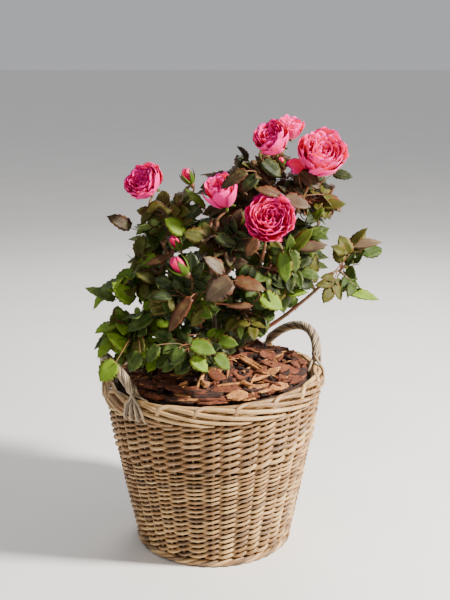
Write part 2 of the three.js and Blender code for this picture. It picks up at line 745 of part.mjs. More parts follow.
function growMass(name, plan, canes, obstacles) {
  const random = seeded(plan.seed);
  const centre = v(...plan.centre);
  const curve = caneCurve(CANES[plan.from]);
  const start = curve.getPointAt(plan.share);
  const heading = curve.getTangentAt(plan.share);
  const fromTip = plan.share === 1;
  if (fromTip) {
    start.addScaledVector(heading, TIP_GAP);
  }
  const toCentre = centre.clone().sub(start);
  const bow = start.clone().addScaledVector(heading, toCentre.length() * 0.3);
  const lean = fromTip ? 0 : 0.2;
  const near = centre.clone().addScaledVector(toCentre, -0.3);
  const stemPath = bezier(start, bow.addScaledVector(toCentre, lean), near, centre);
  let stem = curvedTube(stemPath, 3, 2.2, 1.6, 4);
  if (!fromTip) {
    stem = largestPiece(stem.subtract(canes[`${plan.from}_grown`]));
  }
  const solids = [stem];
  const leaves = [];
  const clear = (made, points) => points.every((p) => insideSpace(name, p))
    && isClear(made, obstacles, LEAF_CLEARANCE) && !overlapsAny(made, leaves);
  const placeLeaf = (places, aim, size) => {
    for (let attempt = 0; attempt < 7; attempt += 1) {
      const shake = attempt * 0.12;
      const along = aim.clone().normalize()
        .add(v(random() - 0.5, random() - 0.5, random() - 0.5).multiplyScalar(shake)).normalize();
      const outward = places[0].clone().sub(CROWN_AXIS).setZ(0).normalize();
      const up = v(0, 0, 1).addScaledVector(outward, 0.55)
        .add(v(random() - 0.5, random() - 0.5, 0).multiplyScalar(0.5));
      up.addScaledVector(along, -up.dot(along)).normalize();
      const leaf = makeLeaf(places, along, up, size * (1 - 0.06 * attempt));
      if (clear(leaf.solid, leaf.points)) {
        leaves.push(makeLeaf(places.slice(-1), along, up, size * (0.97 - 0.06 * attempt)).solid);
        solids.push(leaf.solid);
        return true;
      }
    }
    return false;
  };
  const twigTo = (target, kind) => {
    const root = stemPath.getPointAt(0.35 + 0.65 * random());
    const toTarget = v(...target).sub(root);
    const leafReach = kind === 'bud' ? 20 : LEAFLET_LENGTH * (1 + LEAF_STALK);
    const length = Math.max(toTarget.length() - leafReach, 3);
    const aim = toTarget.clone().normalize();
    const middle = root.clone().addScaledVector(aim, length * 0.5).add(v(0, 0, length * 0.12));
    const tip = root.clone().addScaledVector(aim, length);
    if (![middle, tip].every((p) => insideSpace(name, p))) {
      return 0;
    }
    if (kind === 'bud') {
      const twig = taperedTube([root, middle, tip], TWIG_RADIUS, 1.1, 3);
      const bud = spindle(facing(tip, aim), [[-2, 2], [3, 6], [10, 7], [17, 4.5], [21, 1]], 5);
      if (isClear(bud, obstacles, LEAF_CLEARANCE) && isClear(twig, obstacles, LEAF_CLEARANCE)) {
        solids.push(twig, bud);
        leaves.push(bud);
      }
      return 0;
    }
    const fit = Math.min(1, toTarget.length() / (leafReach + 3));
    const size = LEAFLET_LENGTH * Math.max(fit, 0.7);
    if (!placeLeaf([root, middle, tip], v(...target).sub(tip), size)) {
      return 0;
    }
    if (length < 24) {
      return 1;
    }
    const outward = middle.clone().sub(CROWN_AXIS).normalize();
    const sideways = aim.clone().cross(outward).normalize().multiplyScalar(random() < 0.5 ? -1 : 1);
    const spread = aim.clone().multiplyScalar(0.3).add(sideways).addScaledVector(outward, 0.5);
    return placeLeaf([middle], spread, LEAFLET_LENGTH * 0.88) ? 2 : 1;
  };
  let grown = 0;
  for (const target of plan.buds ?? []) {
    twigTo(target, 'bud');
  }
  for (const target of plan.tips) {
    grown += twigTo(target, 'leaf');
  }
  for (let i = 0; i < 40 && grown < plan.leaves; i += 1) {
    const height = 1 - 2 * random();
    const swing = random() * Math.PI * 2;
    const flat = Math.sqrt(1 - height * height);
    const direction = v(flat * Math.cos(swing), flat * Math.sin(swing), height * 0.9);
    const outward = centre.clone().sub(CROWN_AXIS).normalize();
    direction.addScaledVector(outward, 0.5).normalize();
    const target = centre.clone().addScaledVector(direction, plan.reach * (0.95 + 0.15 * random()));
    grown += twigTo([target.x, target.y, target.z], 'leaf');
  }
  return { solid: largestPiece(joined(solids)), grown };
}

// The whole plant put together

const group = new THREE.Group();
group.name = 'potted_rose_bush';

// Corners rounded to a thousandth and joined where they then agree. It gives nothing
// where that leaves an edge without exactly two faces.
function settle(mesh) {
  const places = new Map();
  const positions = [];
  const ids = [];
  for (let i = 0; i < mesh.vertProperties.length; i += 3) {
    const steps = [0, 1, 2].map((k) => Math.round(mesh.vertProperties[i + k] * 1000));
    const key = steps.join();
    if (!places.has(key)) {
      places.set(key, places.size);
      positions.push(...steps.map((step) => step / 1000));
    }
    ids.push(places.get(key));
  }
  const faces = [];
  const edges = new Map();
  for (let i = 0; i < mesh.triVerts.length; i += 3) {
    const corners = [0, 1, 2].map((k) => ids[mesh.triVerts[i + k]]);
    if (new Set(corners).size < 3) {
      continue;
    }
    faces.push(...corners);
    corners.forEach((corner, k) => {
      const next = corners[(k + 1) % 3];
      const key = `${Math.min(corner, next)},${Math.max(corner, next)}`;
      edges.set(key, (edges.get(key) ?? 0) + 1);
    });
  }
  return [...edges.values()].every((count) => count === 2) ? { positions, faces } : null;
}

function addNode(name, solid, look, shortestFirst = 0.05) {
  let settled = null;
  for (const shortest of [shortestFirst, 0.05, 0.08, 0.03, 0.12, 0.02, 0.2]) {
    settled = settled ?? settle(largestPiece(solid, shortest).getMesh());
  }
  if (!settled) {
    throw new Error(`${name} has an edge that rounding spoils`);
  }
  const geometry = new THREE.BufferGeometry();
  geometry.setAttribute('position', new THREE.Float32BufferAttribute(settled.positions, 3));
  geometry.setIndex(settled.faces);
  geometry.computeVertexNormals();
  const [color, roughness] = LOOKS[look];
  const node = new THREE.Mesh(geometry, new THREE.MeshStandardMaterial({ color, roughness, metalness: 0 }));
  node.name = name;
  group.add(node);
}

const border = makeBorder();
addNode('basket_base', makeBase(), 'wicker');
addNode('foot_wale', makeWale(), 'wicker');
addNode('basket_wall', makeWall(), 'wicker');
addNode('top_border', border, 'border');
addNode('compost', makeCompost(), 'compost');

const borderGrown = border.translate([0, 0, 2.4 * GAP]);
const handles = HANDLES.map((plan) => makeHandle(plan, joined([border, borderGrown])));
handles.forEach((solid, i) => addNode(HANDLES[i].name, solid, 'handle'));
const loops = HANDLES.map(handleLoop);

const stock = loft(stockRings(0));
const stockGrown = loft(stockRings(GAP));
addNode('rootstock', stock, 'stock');

const canes = {};
for (const [name, plan] of Object.entries(CANES)) {
  canes[name] = largestPiece(makeCane(plan, 0).subtract(stockGrown));
  canes[`${name}_grown`] = makeCane(plan, GAP);
  addNode(name, canes[name], 'cane');
}
const caneSolids = Object.keys(CANES).map((name) => canes[name]);

const chipRandom = seeded(5);
const mulchParts = [makeMulchBody(0)];
for (let i = 0; i < CHIP_COUNT; i += 1) {
  const distance = Math.sqrt((i + 0.5) / CHIP_COUNT) * (MULCH_RADIUS - 24);
  const angle = i * 2.39996 + chipRandom() * 0.5;
  const [x, y] = [distance * Math.cos(angle), distance * Math.sin(angle)];
  const chip = makeChip(x, y, chipRandom);
  if (!underHandle(x, y) && isClear(chip, [border, stock, ...caneSolids], 0.6)) {
    mulchParts.push(chip);
  }
}
const mulch = largestPiece(joined(mulchParts).subtract(stockGrown));
addNode('bark_mulch', mulch, 'bark');

const blooms = {};
for (const [name, plan] of Object.entries(BLOOMS)) {
  blooms[name] = makeBloom(plan, canes);
  addNode(name, blooms[name], 'petal');
}

const fixedThings = [border, mulch, stock, ...handles, ...loops, ...caneSolids, ...Object.values(blooms)];
for (const [name, plan] of Object.entries(MASSES)) {
  const { solid, grown } = growMass(name, plan, canes, fixedThings);
  if (grown < 3) {
    throw new Error(`${name} has only ${grown} leaves`);
  }
  addNode(name, solid, plan.look, LEAF_SIMPLIFY);
}

export default group;
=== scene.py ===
"""A potted rose bush in a round wicker basket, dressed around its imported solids.

Sizes are in millimetres and become metres as each mesh is made. The origin is the
centre of the basket's flat underside, +Z is up and -Y is the side that faces the viewer.
"""

import math

import bpy
import numpy as np
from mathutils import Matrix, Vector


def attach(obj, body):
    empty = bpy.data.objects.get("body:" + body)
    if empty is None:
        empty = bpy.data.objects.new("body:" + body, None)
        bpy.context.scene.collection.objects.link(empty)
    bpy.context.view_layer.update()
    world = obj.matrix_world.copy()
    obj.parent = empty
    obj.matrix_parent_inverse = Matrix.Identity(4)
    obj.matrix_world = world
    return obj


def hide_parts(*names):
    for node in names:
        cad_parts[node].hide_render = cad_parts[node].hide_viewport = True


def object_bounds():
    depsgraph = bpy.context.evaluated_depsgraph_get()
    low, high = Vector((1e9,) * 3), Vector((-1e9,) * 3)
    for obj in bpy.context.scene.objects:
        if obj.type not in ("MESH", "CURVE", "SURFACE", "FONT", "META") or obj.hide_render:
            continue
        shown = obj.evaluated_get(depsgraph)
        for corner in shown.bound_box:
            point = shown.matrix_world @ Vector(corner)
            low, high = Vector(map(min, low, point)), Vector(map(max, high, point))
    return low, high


bl_info = {
    "name": "Potted rose bush",
    "version": (1, 0, 0),
    "blender": (4, 5, 0),
    "location": "View3D > Sidebar > Rose bush",
    "description": "Dresses a rose bush in a wicker basket around its solids",
    "category": "Add Mesh",
}

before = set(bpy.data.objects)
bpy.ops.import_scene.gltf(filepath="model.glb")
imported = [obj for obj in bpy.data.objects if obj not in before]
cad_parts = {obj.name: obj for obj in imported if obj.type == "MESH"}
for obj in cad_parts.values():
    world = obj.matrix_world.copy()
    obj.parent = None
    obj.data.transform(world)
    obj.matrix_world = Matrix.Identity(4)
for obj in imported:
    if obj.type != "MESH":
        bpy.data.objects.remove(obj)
CAD_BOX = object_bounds()

MM = 0.001
FULL_TURN = 2 * math.pi
GOLDEN_TURN = 2.39996
SPOT_LENGTH = 10  # millimetres of a tube for each unit of its UV map
BLACK = (0, 0, 0, 1)
WHITE = (1, 1, 1, 1)

# The solids' own sizes, as the frame was made with them
FOOT_RADIUS = 138
RIM_RADIUS = 196
WALL_RIM_RADIUS = 191.5
WALL_TOP = 281
WALL_FLARE_POWER = 1.2
RIM_SLANT = 0.046
STAKE_COUNT = 36
WALE_HEIGHT = 13
BORDER_HEIGHT = 31
BORDER_WIDTH = 23
BORDER_STROKES = 18
HANDLE_RADIUS = 8.5
HANDLES = {
    "handle_right": {"middle": 31, "spread": 26, "rise": 51, "lean": 12},
    "handle_left": {"middle": 204, "spread": 23, "rise": 60, "lean": 12},
}
COMPOST_TOP = 262
MULCH_RADIUS = 172.5
MULCH_EDGE_DROP = 7
MULCH_PEAK = 350
STOCK = {"x": 8, "y": 6, "foot": 14, "waist": 11.5, "swelling": 19, "top": 362}
LEAF_REACH = 96

# The rods: how they stand, stray and run, and how many points each has
LOWER_ROWS = 36
UPPER_ROWS = 16
DIVIDE = 187
STAKE_DEPTH = -6.3
STAKE_FOOT = 4
STAKE_OVER = 6
STRAY_TURN = 0.26  # of the gap between two stakes
STRAY_OUT = 2.2
STRAY_LIFT = 4.4
STRAY_END = 25  # nearer to the foot or the rim the rods come to lie level
ROD_SAG = 0.9
ROD_STEPS = 6  # points of a rod for each stake that it passes
WEAVE_ROOM = 2.7  # from a stake's middle to the skin of a rod that passes it
WALE_TURNS = 14
WALE_ROD = 3.3
WALE_SWING = (2.9, 3.1)
WALE_POINTS = 421
BORDER_MIDDLE = RIM_RADIUS - BORDER_WIDTH / 2 + 1.5
BORDER_POINTS = (84, 34)
INNER_ROD = 0.92  # of the outer rods of the rim
HANDLE_RODS = 10
HANDLE_WINDINGS = 2.5
HANDLE_STEPS = 90
HANDLE_POINTS = 150
HANDLE_FAN = 0.23
HANDLE_FACES = (-13.5, 13.0)  # how far in and out of the rim's middle the rods run down it

# The mulch. A pair is the least and what chance adds, and a third number is chance's power
COMPOST_ROOM = 0.6  # between the compost and what stands on it
BED_DEPTH = 30
BED_SIDES = 72
BED_RINGS = 15
BED_RING = 11
BED_CRUMBLE = 1.6
BED_SINK = 4
CHIP_ROOM = 24  # kept clear round the stock
LARGE_CHIPS = 0.62  # of all chips
LARGE_CHIP = [(26, 34, 1.4), (13, 16, 1), (3, 4.5, 1)]
SMALL_CHIP = [(11, 12, 1), (7, 7, 1), (3, 4, 1)]
CHIP_THICKNESS = 5
CHIP_LIFT = 11
EDGE_CHIPS = 7  # of so many chips, one lies at the edge
EDGE_CHIP_INSET = 6
EDGE_CHIP_LIFT = 3.5
SPLINTER_INSET = 22
SPLINTER_LIFT = 5
SPLINTER_LENGTH = (16, 42)
SPLINTER_RADIUS = (1.3, 2.0)
SPLINTER_WIDTH = 9  # of the pieces that the photograph shows, the narrower ones are splinters

# The limbs and blooms. The stock's levels are heights with radii, and two radii are those of the
# start and the end
STOCK_SIDES = 24
STOCK_LEVELS = [
    (COMPOST_TOP + COMPOST_ROOM, STOCK["foot"]), (300, STOCK["waist"]), (330, STOCK["waist"] + 1),
    (343, STOCK["swelling"]), (355, STOCK["swelling"] - 2), (STOCK["top"], 9),
]
CANE_FOOT = 350
CANE_INSET = 15.5
TOP_LIFT = 5  # a cane with more lift leaves from the middle of the stock's top
CANE_RING = 4
OLD_CANE = 0.34  # of a cane's length
KNUCKLE_STEP = 38
KNUCKLE_LENGTH = 2.6
KNUCKLE_SWELLING = 0.16
PRICKLE_STEP = 24
PRICKLE_SIZE = (3.2, 1.6)  # the least and what chance adds
SEPALS = 5
SEPAL_THICKNESS = 0.6
BUD_SEPAL_THICKNESS = 0.5
BUD_PETALS = 7
BUD_LENGTH = 20
BLOOM_SEAT = 0.55  # of a bloom's depth, from its base to its middle
STALK_RADII = (2.3, 1.8)
HIP_RADII = (1.7, 2.6, 4.2, 4.4, 3.0)

# The foliage: its leaves, its twigs, and the room that it leaves round other things
VEIN_LIGHT = 0.35
VEIN_WAVES = 56.0
LEAF_STALK = 0.52  # of a leaf's length
LEAFLET_GRID = (12, 5)
LEAF_PLAN = [(1.0, 0, 0.53), (0.84, 1, 0.46), (0.84, -1, 0.46), (0.44, 1, 0.39), (0.44, -1, 0.39)]
CANE_LEAF_STEP = 24
TWIG_TRIES = 220
STEM_RADII = (2.3, 1.4)
TWIG_RADII = (1.5, 1.0)
LEAF_STALK_RADII = (1.15, 0.7)
BED_REACH = 190
MULCH_ROOM = 4
HANDLE_ROOM = 15
BOX_ROOM = 2
BLOOM_ROOM = 4
BLOOM_ROOM_SEEN = 5  # in pixels of the photograph
FRONT_DEPTH = 1800  # blooms farther from the camera may be hidden
LEAFLET_ROOM = 0.26  # of a leaflet's length, between the middles of two
EDGE_ROOM = 900.0  # square millimetres by which a leaflet may lie past its mass's own space
BARE_TIPS = ("cane_low_left", "cane_front", "cane_right")
CROWN_AXIS = np.array([25.0, 0.0, 470.0])

# Each cane: the side of the stock it leaves from, two control points and its tip
CANES = {
    "cane_right": {
        "side": -15, "lift": 0, "radius": (4.4, 2.4),
        "aim": [(62, -8, 372), (150, -20, 432), (212, -14, 500)],
    },
    "cane_top_right": {
        "side": 25, "lift": 2, "radius": (4.7, 2.6),
        "aim": [(56, 24, 396), (120, -16, 560), (170, -10, 662)],
    },
    "cane_top_pair": {
        "side": 66, "lift": 2, "radius": (4.6, 2.5),
        "aim": [(34, 52, 430), (84, 44, 590), (106, 20, 684)],
    },
    "cane_back": {
        "side": 106, "lift": 1, "radius": (4.6, 2.4),
        "aim": [(8, 62, 400), (52, 98, 470), (74, 112, 545)],
    },
    "cane_back_left": {
        "side": 146, "lift": 0, "radius": (4.4, 2.4),
        "aim": [(-24, 62, 380), (-70, 104, 410), (-92, 120, 458)],
    },
    "cane_left": {
        "side": 186, "lift": 1, "radius": (4.8, 2.4),
        "aim": [(-34, 12, 430), (-84, 8, 520), (-110, -2, 612)],
    },
    "cane_low_left": {
        "side": 226, "lift": 0, "radius": (4.2, 2.4),
        "aim": [(-46, -30, 374), (-104, -44, 394), (-146, -56, 436)],
    },
    "cane_front": {
        "side": 266, "lift": 0, "radius": (4.2, 2.3),
        "aim": [(2, -50, 380), (-22, -88, 408), (-30, -106, 462)],
    },
    "cane_centre": {
        "side": 306, "lift": 1, "radius": (4.8, 2.5),
        "aim": [(36, -38, 404), (76, -66, 486), (88, -80, 562)],
    },
    "cane_centre_left": {
        "side": 0, "lift": 9, "radius": (4.4, 2.3),
        "aim": [(-4, -10, 430), (-10, -38, 516), (6, -48, 594)],
    },
}

# Each bloom: where it sits, the way it faces, its width, how open it is, its cane and the place
# on it where its stalk leaves, its petals, and the turns of those that hang loose
BLOOMS = {
    "bloom_top_right": {
        "at": (185, -20, 705), "face": (0.12, -0.72, 0.7), "width": 88, "open": 0.66,
        "from": "cane_top_right", "share": 1, "petals": 32, "loose": [3.25],
    },
    "bloom_top_left": {
        "at": (100, -20, 732), "face": (-0.35, -0.6, 0.7), "width": 66, "open": 0.7,
        "from": "cane_top_pair", "share": 1, "petals": 24,
    },
    "bloom_top_back": {
        "at": (136, 48, 746), "face": (0.22, -0.3, 0.92), "width": 50, "open": 0.62,
        "from": "cane_top_pair", "share": 0.86, "petals": 17,
    },
    "bloom_centre": {
        "at": (95, -104, 610), "face": (0, -0.88, 0.47), "width": 86, "open": 1,
        "from": "cane_centre", "share": 1, "petals": 44,
    },
    "bloom_centre_left": {
        "at": (13, -62, 648), "face": (-0.3, -0.5, 0.8), "width": 62, "open": 0.35,
        "from": "cane_centre_left", "share": 1, "petals": 15,
    },
    "bloom_left": {
        "at": (-118, -12, 657), "face": (-0.48, -0.6, 0.62), "width": 72, "open": 0.95,
        "from": "cane_left", "share": 1, "petals": 38,
    },
    "bloom_back": {
        "at": (86, 138, 588), "face": (0.2, 0.75, 0.6), "width": 70, "open": 0.8,
        "from": "cane_back", "share": 1, "petals": 28,
    },
    "bloom_back_left": {
        "at": (-104, 142, 500), "face": (-0.3, 0.75, 0.6), "width": 62, "open": 0.7,
        "from": "cane_back_left", "share": 1, "petals": 24,
    },
}

# Each mass: its middle, its reach, the cane and the place on it where its stem leaves, its look,
# the seed of its draws, the solid's number of leaves, the tips that it must reach, and, where it
# has them, its own leaf tones and its buds, as the pixels of foot and tip and the depth y
MASSES = {
    "leaves_top_right": {
        "centre": (172, 8, 628), "reach": 62, "from": "cane_top_right", "share": 0.8,
        "look": "bronze", "seed": 11, "leaves": 9,
        "tips": [(238, 0, 652), (214, 30, 600), (226, -28, 622), (150, -60, 640), (140, 30, 700)],
    },
    "leaves_top_middle": {
        "centre": (72, 10, 660), "reach": 62, "from": "cane_top_pair", "share": 0.82,
        "look": "bronze", "seed": 12, "leaves": 9,
        "tips": [(70, -40, 700), (40, -10, 690), (52, 40, 700)],
        "buds": [((284, 167), (280, 157), -30)],
    },
    "leaves_centre": {
        "centre": (112, -72, 520), "reach": 62, "from": "cane_centre", "share": 0.72,
        "look": "leaf", "seed": 13, "leaves": 9,
        "tips": [(126, -100, 452), (150, -90, 520), (70, -120, 500)],
    },
    "leaves_middle": {
        "centre": (26, -74, 560), "reach": 56, "from": "cane_centre_left", "share": 0.7,
        "look": "bronze", "seed": 14, "leaves": 8,
        "tips": [(44, -100, 590), (10, -120, 560), (-30, -100, 590)],
    },
    "leaves_upper_left": {
        "centre": (-62, -6, 590), "reach": 66, "from": "cane_left", "share": 0.74,
        "look": "leaf", "seed": 15, "leaves": 7,
        "tones": ["mid_leaf", "olive_leaf", "fresh_leaf", "mid_leaf", "dark_leaf", "olive_leaf"],
        "tips": [(-120, -20, 600), (-60, -60, 610), (-128, 30, 580)],
        "buds": [((193, 187), (184, 168), 0), ((181, 252), (171, 236), -62)],
    },
    "leaves_left": {
        "centre": (-140, -6, 500), "reach": 66, "from": "cane_left", "share": 0.5,
        "look": "bright", "seed": 45, "leaves": 9,
        "tips": [(-220, -20, 469), (-190, -50, 485), (-205, 30, 510)],
    },
    "leaves_low_left": {
        "centre": (-140, -62, 405), "reach": 66, "from": "cane_low_left", "share": 0.8,
        "look": "bright", "seed": 53, "leaves": 10,
        "tips": [(-196, -90, 392), (-190, -50, 420), (-150, -128, 385), (-165, 10, 400)],
    },
    "leaves_front_middle": {
        "centre": (-44, -96, 480), "reach": 64, "from": "cane_front", "share": 1,
        "look": "leaf", "seed": 18, "leaves": 10,
        "tips": [(-20, -150, 470), (-90, -130, 490), (-60, -150, 440)],
        "buds": [((190, 277), (171, 258), -112)],
    },
    "leaves_low_front": {
        "centre": (-34, -122, 392), "reach": 62, "from": "cane_front", "share": 0.6,
        "look": "leaf", "seed": 19, "leaves": 10,
        "tips": [(-24, -165, 372), (-80, -150, 376), (20, -150, 380), (50, -120, 392)],
    },
    "leaves_low_middle": {
        "centre": (58, -62, 440), "reach": 54, "from": "cane_centre", "share": 0.42,
        "look": "leaf", "seed": 20, "leaves": 8,
        "tips": [(70, -120, 424), (100, -60, 412), (40, -130, 440)],
    },
    "leaves_right": {
        "centre": (150, 0, 545), "reach": 60, "from": "cane_top_right", "share": 0.5,
        "look": "leaf", "seed": 43, "leaves": 9,
        "tips": [(212, -6, 588), (190, -50, 560), (120, -70, 560)],
    },
    "leaves_far_right": {
        "centre": (225, -6, 500), "reach": 74, "from": "cane_right", "share": 1,
        "look": "bright", "seed": 22, "leaves": 3,
        "tones": ["olive_leaf", "fresh_leaf", "mid_leaf", "olive_leaf"],
        "tips": [(297, 0, 554), (262, -30, 470), (268, 20, 462), (240, -10, 560), (200, -60, 470)],
    },
    "leaves_back_right": {
        "centre": (130, 92, 500), "reach": 84, "from": "cane_back", "share": 0.66,
        "look": "leaf", "seed": 23, "leaves": 11,
        "tips": [(210, 110, 500), (150, 170, 490)],
    },
    "leaves_back_top": {
        "centre": (40, 92, 620), "reach": 76, "from": "cane_back", "share": 0.9,
        "look": "bronze", "seed": 24, "leaves": 10,
        "tips": [(40, 150, 650), (90, 110, 690), (0, 90, 690)],
    },
    "leaves_back_left": {
        "centre": (-78, 84, 540), "reach": 80, "from": "cane_back_left", "share": 0.82,
        "look": "leaf", "seed": 25, "leaves": 11,
        "tips": [(-140, 120, 560), (-90, 160, 560)],
    },
    "leaves_back_low": {
        "centre": (-30, 128, 420), "reach": 80, "from": "cane_back_left", "share": 0.55,
        "look": "leaf", "seed": 26, "leaves": 11,
        "tips": [(-130, 130, 410), (-40, 195, 400), (60, 160, 400)],
    },
}

# How often each finish comes: it takes the numbers from 0 to 1 below its limit
WICKER = ["tan_rods", "honey_rods", "grey_rods"]
WEAVE_MIX = [(0.5, "tan_rods"), (0.88, "honey_rods"), (1, "grey_rods")]
BORDER_MIX = [(0.5, "honey_rods"), (0.9, "tan_rods"), (1, "grey_rods")]
CHIP_MIX = [(0.5, "red_bark"), (0.86, "dark_bark"), (1, "pale_wood")]
SPLINTER_MIX = [(0.3, "red_bark"), (0.42, "dark_bark"), (1, "pale_wood")]

# How one rod of the rim runs: strokes passed, how far out and how far up
OUTER_ROLL = np.array([
    (-0.03, -3.0, -20), (0.0, -0.5, -14), (0.03, 3.2, -6), (0.06, 6.0, 2), (0.11, 6.0, 9.5),
    (0.22, 3.0, 13.2), (0.4, -1.6, 13.2), (0.7, -4.2, 11.8), (1.1, -2.2, 12.0),
    (1.6, 2.6, 11.8), (2.0, 5.8, 8.2), (2.4, 7.6, 3.6), (2.8, 8.2, -0.6), (3.2, 8.4, -4.8),
    (3.6, 8.6, -8.6), (4.0, 8.8, -12.0), (4.3, 8.2, -14.6), (4.5, 5.6, -15.4),
])
INNER_ROLL = np.array([
    (0.0, -6.0, -13), (0.3, -8.0, -9.5), (1.0, -8.4, -4.2), (1.6, -8.2, 0.2), (2.2, -7.6, 4.4),
    (2.7, -6.4, 8.0), (3.0, -4.0, 9.0),
])

# The chips and splinters that the photograph shows clearly: finish, the pixels of the left and
# the right end, and width in millimetres
CHIPS_IN_PHOTO = [
    ("pale_wood", (239, 357), (261, 370), 8),
    ("pale_wood", (241, 355), (263, 368), 6),
    ("pale_wood", (197, 388), (206, 368), 8),
    ("pale_wood", (217, 386), (245, 383), 6),
    ("pale_wood", (251, 381), (270, 375), 6),
    ("red_bark", (171, 392), (202, 388), 14),
    ("pale_wood", (178, 401), (213, 400), 7),
    ("pale_wood", (248, 384), (254, 396), 6),
    ("pale_wood", (294, 353), (307, 363), 8),
    ("dark_bark", (269, 376), (279, 387), 6),
    ("pale_wood", (226, 397), (250, 394), 26),
    ("pale_wood", (270, 390), (288, 384), 20),
    ("red_bark", (261, 362), (302, 373), 26),
    ("red_bark", (209, 372), (226, 380), 22),
    ("red_bark", (260, 356), (276, 350), 24),
    ("dark_bark", (190, 397), (224, 394), 20),
    ("red_bark", (290, 384), (306, 373), 15),
]

# The leaflets that the photograph shows clearly, by mass: finish, the pixels of foot and tip,
# the depth y in millimetres, and width for length
LEAVES_IN_PHOTO = {
    "leaves_low_left": [
        ("lime_leaf", (116, 362), (99, 381), -186, 0.86),
        ("lime_leaf", (129, 350), (108, 332), -100, 0.6),
        ("mid_leaf", (153, 315), (126, 330), -110, 0.52),
        ("mid_leaf", (140, 352), (128, 372), -150, 0.7),
    ],
    "leaves_left": [
        ("pale_under", (115, 300), (86, 286), -20, 0.36),
        ("lime_leaf", (133, 302), (113, 282), -50, 0.72),
        ("fresh_leaf", (118, 284), (132, 268), -40, 0.62),
    ],
    "leaves_upper_left": [
        ("lime_leaf", (184, 233), (166, 218), -60, 0.82),
        ("fresh_leaf", (196, 228), (209, 242), -62, 0.6),
        ("bronze_leaf", (131, 228), (108, 215), 0, 0.6),
        ("copper_leaf", (169, 257), (145, 263), -70, 0.36),
        ("olive_leaf", (156, 281), (136, 272), -66, 0.6),
        ("fresh_leaf", (205, 208), (186, 188), -40, 0.32),
        ("dark_leaf", (200, 205), (185, 222), -50, 0.5),
        ("olive_leaf", (158, 202), (146, 213), -10, 0.56),
        ("olive_leaf", (152, 208), (140, 224), -10, 0.5),
    ],
    "leaves_front_middle": [
        ("silver_leaf", (232, 281), (205, 299), -150, 0.92),
        ("copper_leaf", (234, 281), (266, 288), -150, 0.5),
        ("silver_leaf", (224, 273), (205, 256), -140, 0.6),
        ("copper_leaf", (251, 306), (226, 305), -150, 0.32),
        ("copper_leaf", (191, 297), (166, 333), -150, 0.3),
        ("olive_leaf", (206, 310), (190, 326), -150, 0.62),
    ],
    "leaves_middle": [
        ("copper_leaf", (257, 239), (246, 256), -140, 0.7),
        ("dark_leaf", (215, 236), (240, 246), -110, 0.5),
    ],
    "leaves_top_middle": [
        ("copper_leaf", (280, 195), (256, 187), -100, 0.46),
        ("bronze_leaf", (247, 171), (219, 187), -110, 0.44),
        ("dark_leaf", (257, 177), (240, 190), -60, 0.72),
        ("dark_leaf", (262, 160), (282, 176), -40, 0.6),
    ],
    "leaves_top_right": [
        ("silver_leaf", (283, 199), (311, 205), -80, 0.62),
        ("olive_leaf", (322, 206), (346, 203), -20, 0.52),
        ("dark_leaf", (333, 174), (353, 176), 10, 0.6),
        ("bronze_leaf", (300, 172), (322, 188), -30, 0.6),
        ("fresh_leaf", (311, 222), (323, 208), -30, 0.52),
    ],
    "leaves_centre": [
        ("fresh_leaf", (291, 252), (312, 228), -100, 0.46),
        ("fresh_leaf", (283, 251), (286, 283), -120, 0.5),
        ("mid_leaf", (291, 250), (296, 273), -110, 0.62),
        ("silver_leaf", (298, 249), (327, 243), -80, 0.42),
        ("lime_leaf", (260, 296), (283, 308), -130, 0.8),
        ("lime_leaf", (285, 294), (308, 291), -90, 0.44),
    ],
    "leaves_far_right": [
        ("olive_leaf", (349, 246), (366, 227), 0, 0.36),
        ("silver_under", (351, 246), (382, 240), 0, 0.34),
        ("fresh_leaf", (325, 282), (345, 291), -20, 0.62),
        ("lime_leaf", (346, 291), (380, 298), -20, 0.34),
    ],
    "leaves_low_front": [
        ("mid_leaf", (180, 347), (174, 366), -180, 0.78),
        ("fresh_leaf", (190, 345), (216, 351), -180, 0.74),
        ("lime_leaf", (191, 357), (209, 371), -186, 0.7),
        ("fresh_leaf", (215, 355), (230, 369), -172, 0.76),
        ("mid_leaf", (158, 345), (146, 362), -160, 0.7),
    ],
}

# Circles of the photograph, as x, y and radius in pixels, where it shows no leaf of the bush,
# and the lower edge of its foliage from left to right
OPEN_IN_PHOTO = [
    (104, 315, 12), (108, 266, 17), (226, 158, 12), (250, 146, 9), (354, 203, 12), (345, 223, 11),
    (116, 247, 9), (373, 268, 17), (357, 318, 16), (319, 326, 13), (262, 264, 7), (306, 268, 6),
    (205, 200, 6), (150, 190, 10), (174, 196, 8), (335, 262, 6), (130, 250, 10), (215, 205, 5),
    (395, 262, 20), (318, 308, 9),
]
EDGE_ACROSS = (95, 124, 146, 156, 208, 232, 240, 262, 280, 300, 400)
EDGE_DOWN = (384, 383, 390, 375, 372, 366, 348, 338, 316, 303, 303)

# The leaflets' finishes in each look, and the finish of their undersides
LOOKS = {
    "leaf": (["mid_leaf", "dark_leaf", "olive_leaf", "mid_leaf", "dark_leaf", "fresh_leaf"],
             "pale_under"),
    "bright": (["lime_leaf", "fresh_leaf", "mid_leaf", "lime_leaf", "olive_leaf"], "pale_under"),
    "bronze": (["bronze_leaf", "dark_leaf", "copper_leaf", "olive_leaf", "dark_leaf", "bronze_leaf"],
               "silver_under"),
}
LEAF_FINISHES = ["dark_leaf", "mid_leaf", "olive_leaf", "fresh_leaf", "lime_leaf", "bronze_leaf",
                 "copper_leaf", "silver_leaf", "pale_under", "silver_under"]

# The camera, as it was fitted to the photograph
CAMERA_PLACE = (20.9, -1725.0, 876.0)
CAMERA_PITCH = 14
FOCAL_PIXELS = 1002
PHOTO_WIDTH = 450
PHOTO_HEIGHT = 600
SENSOR_WIDTH = 36

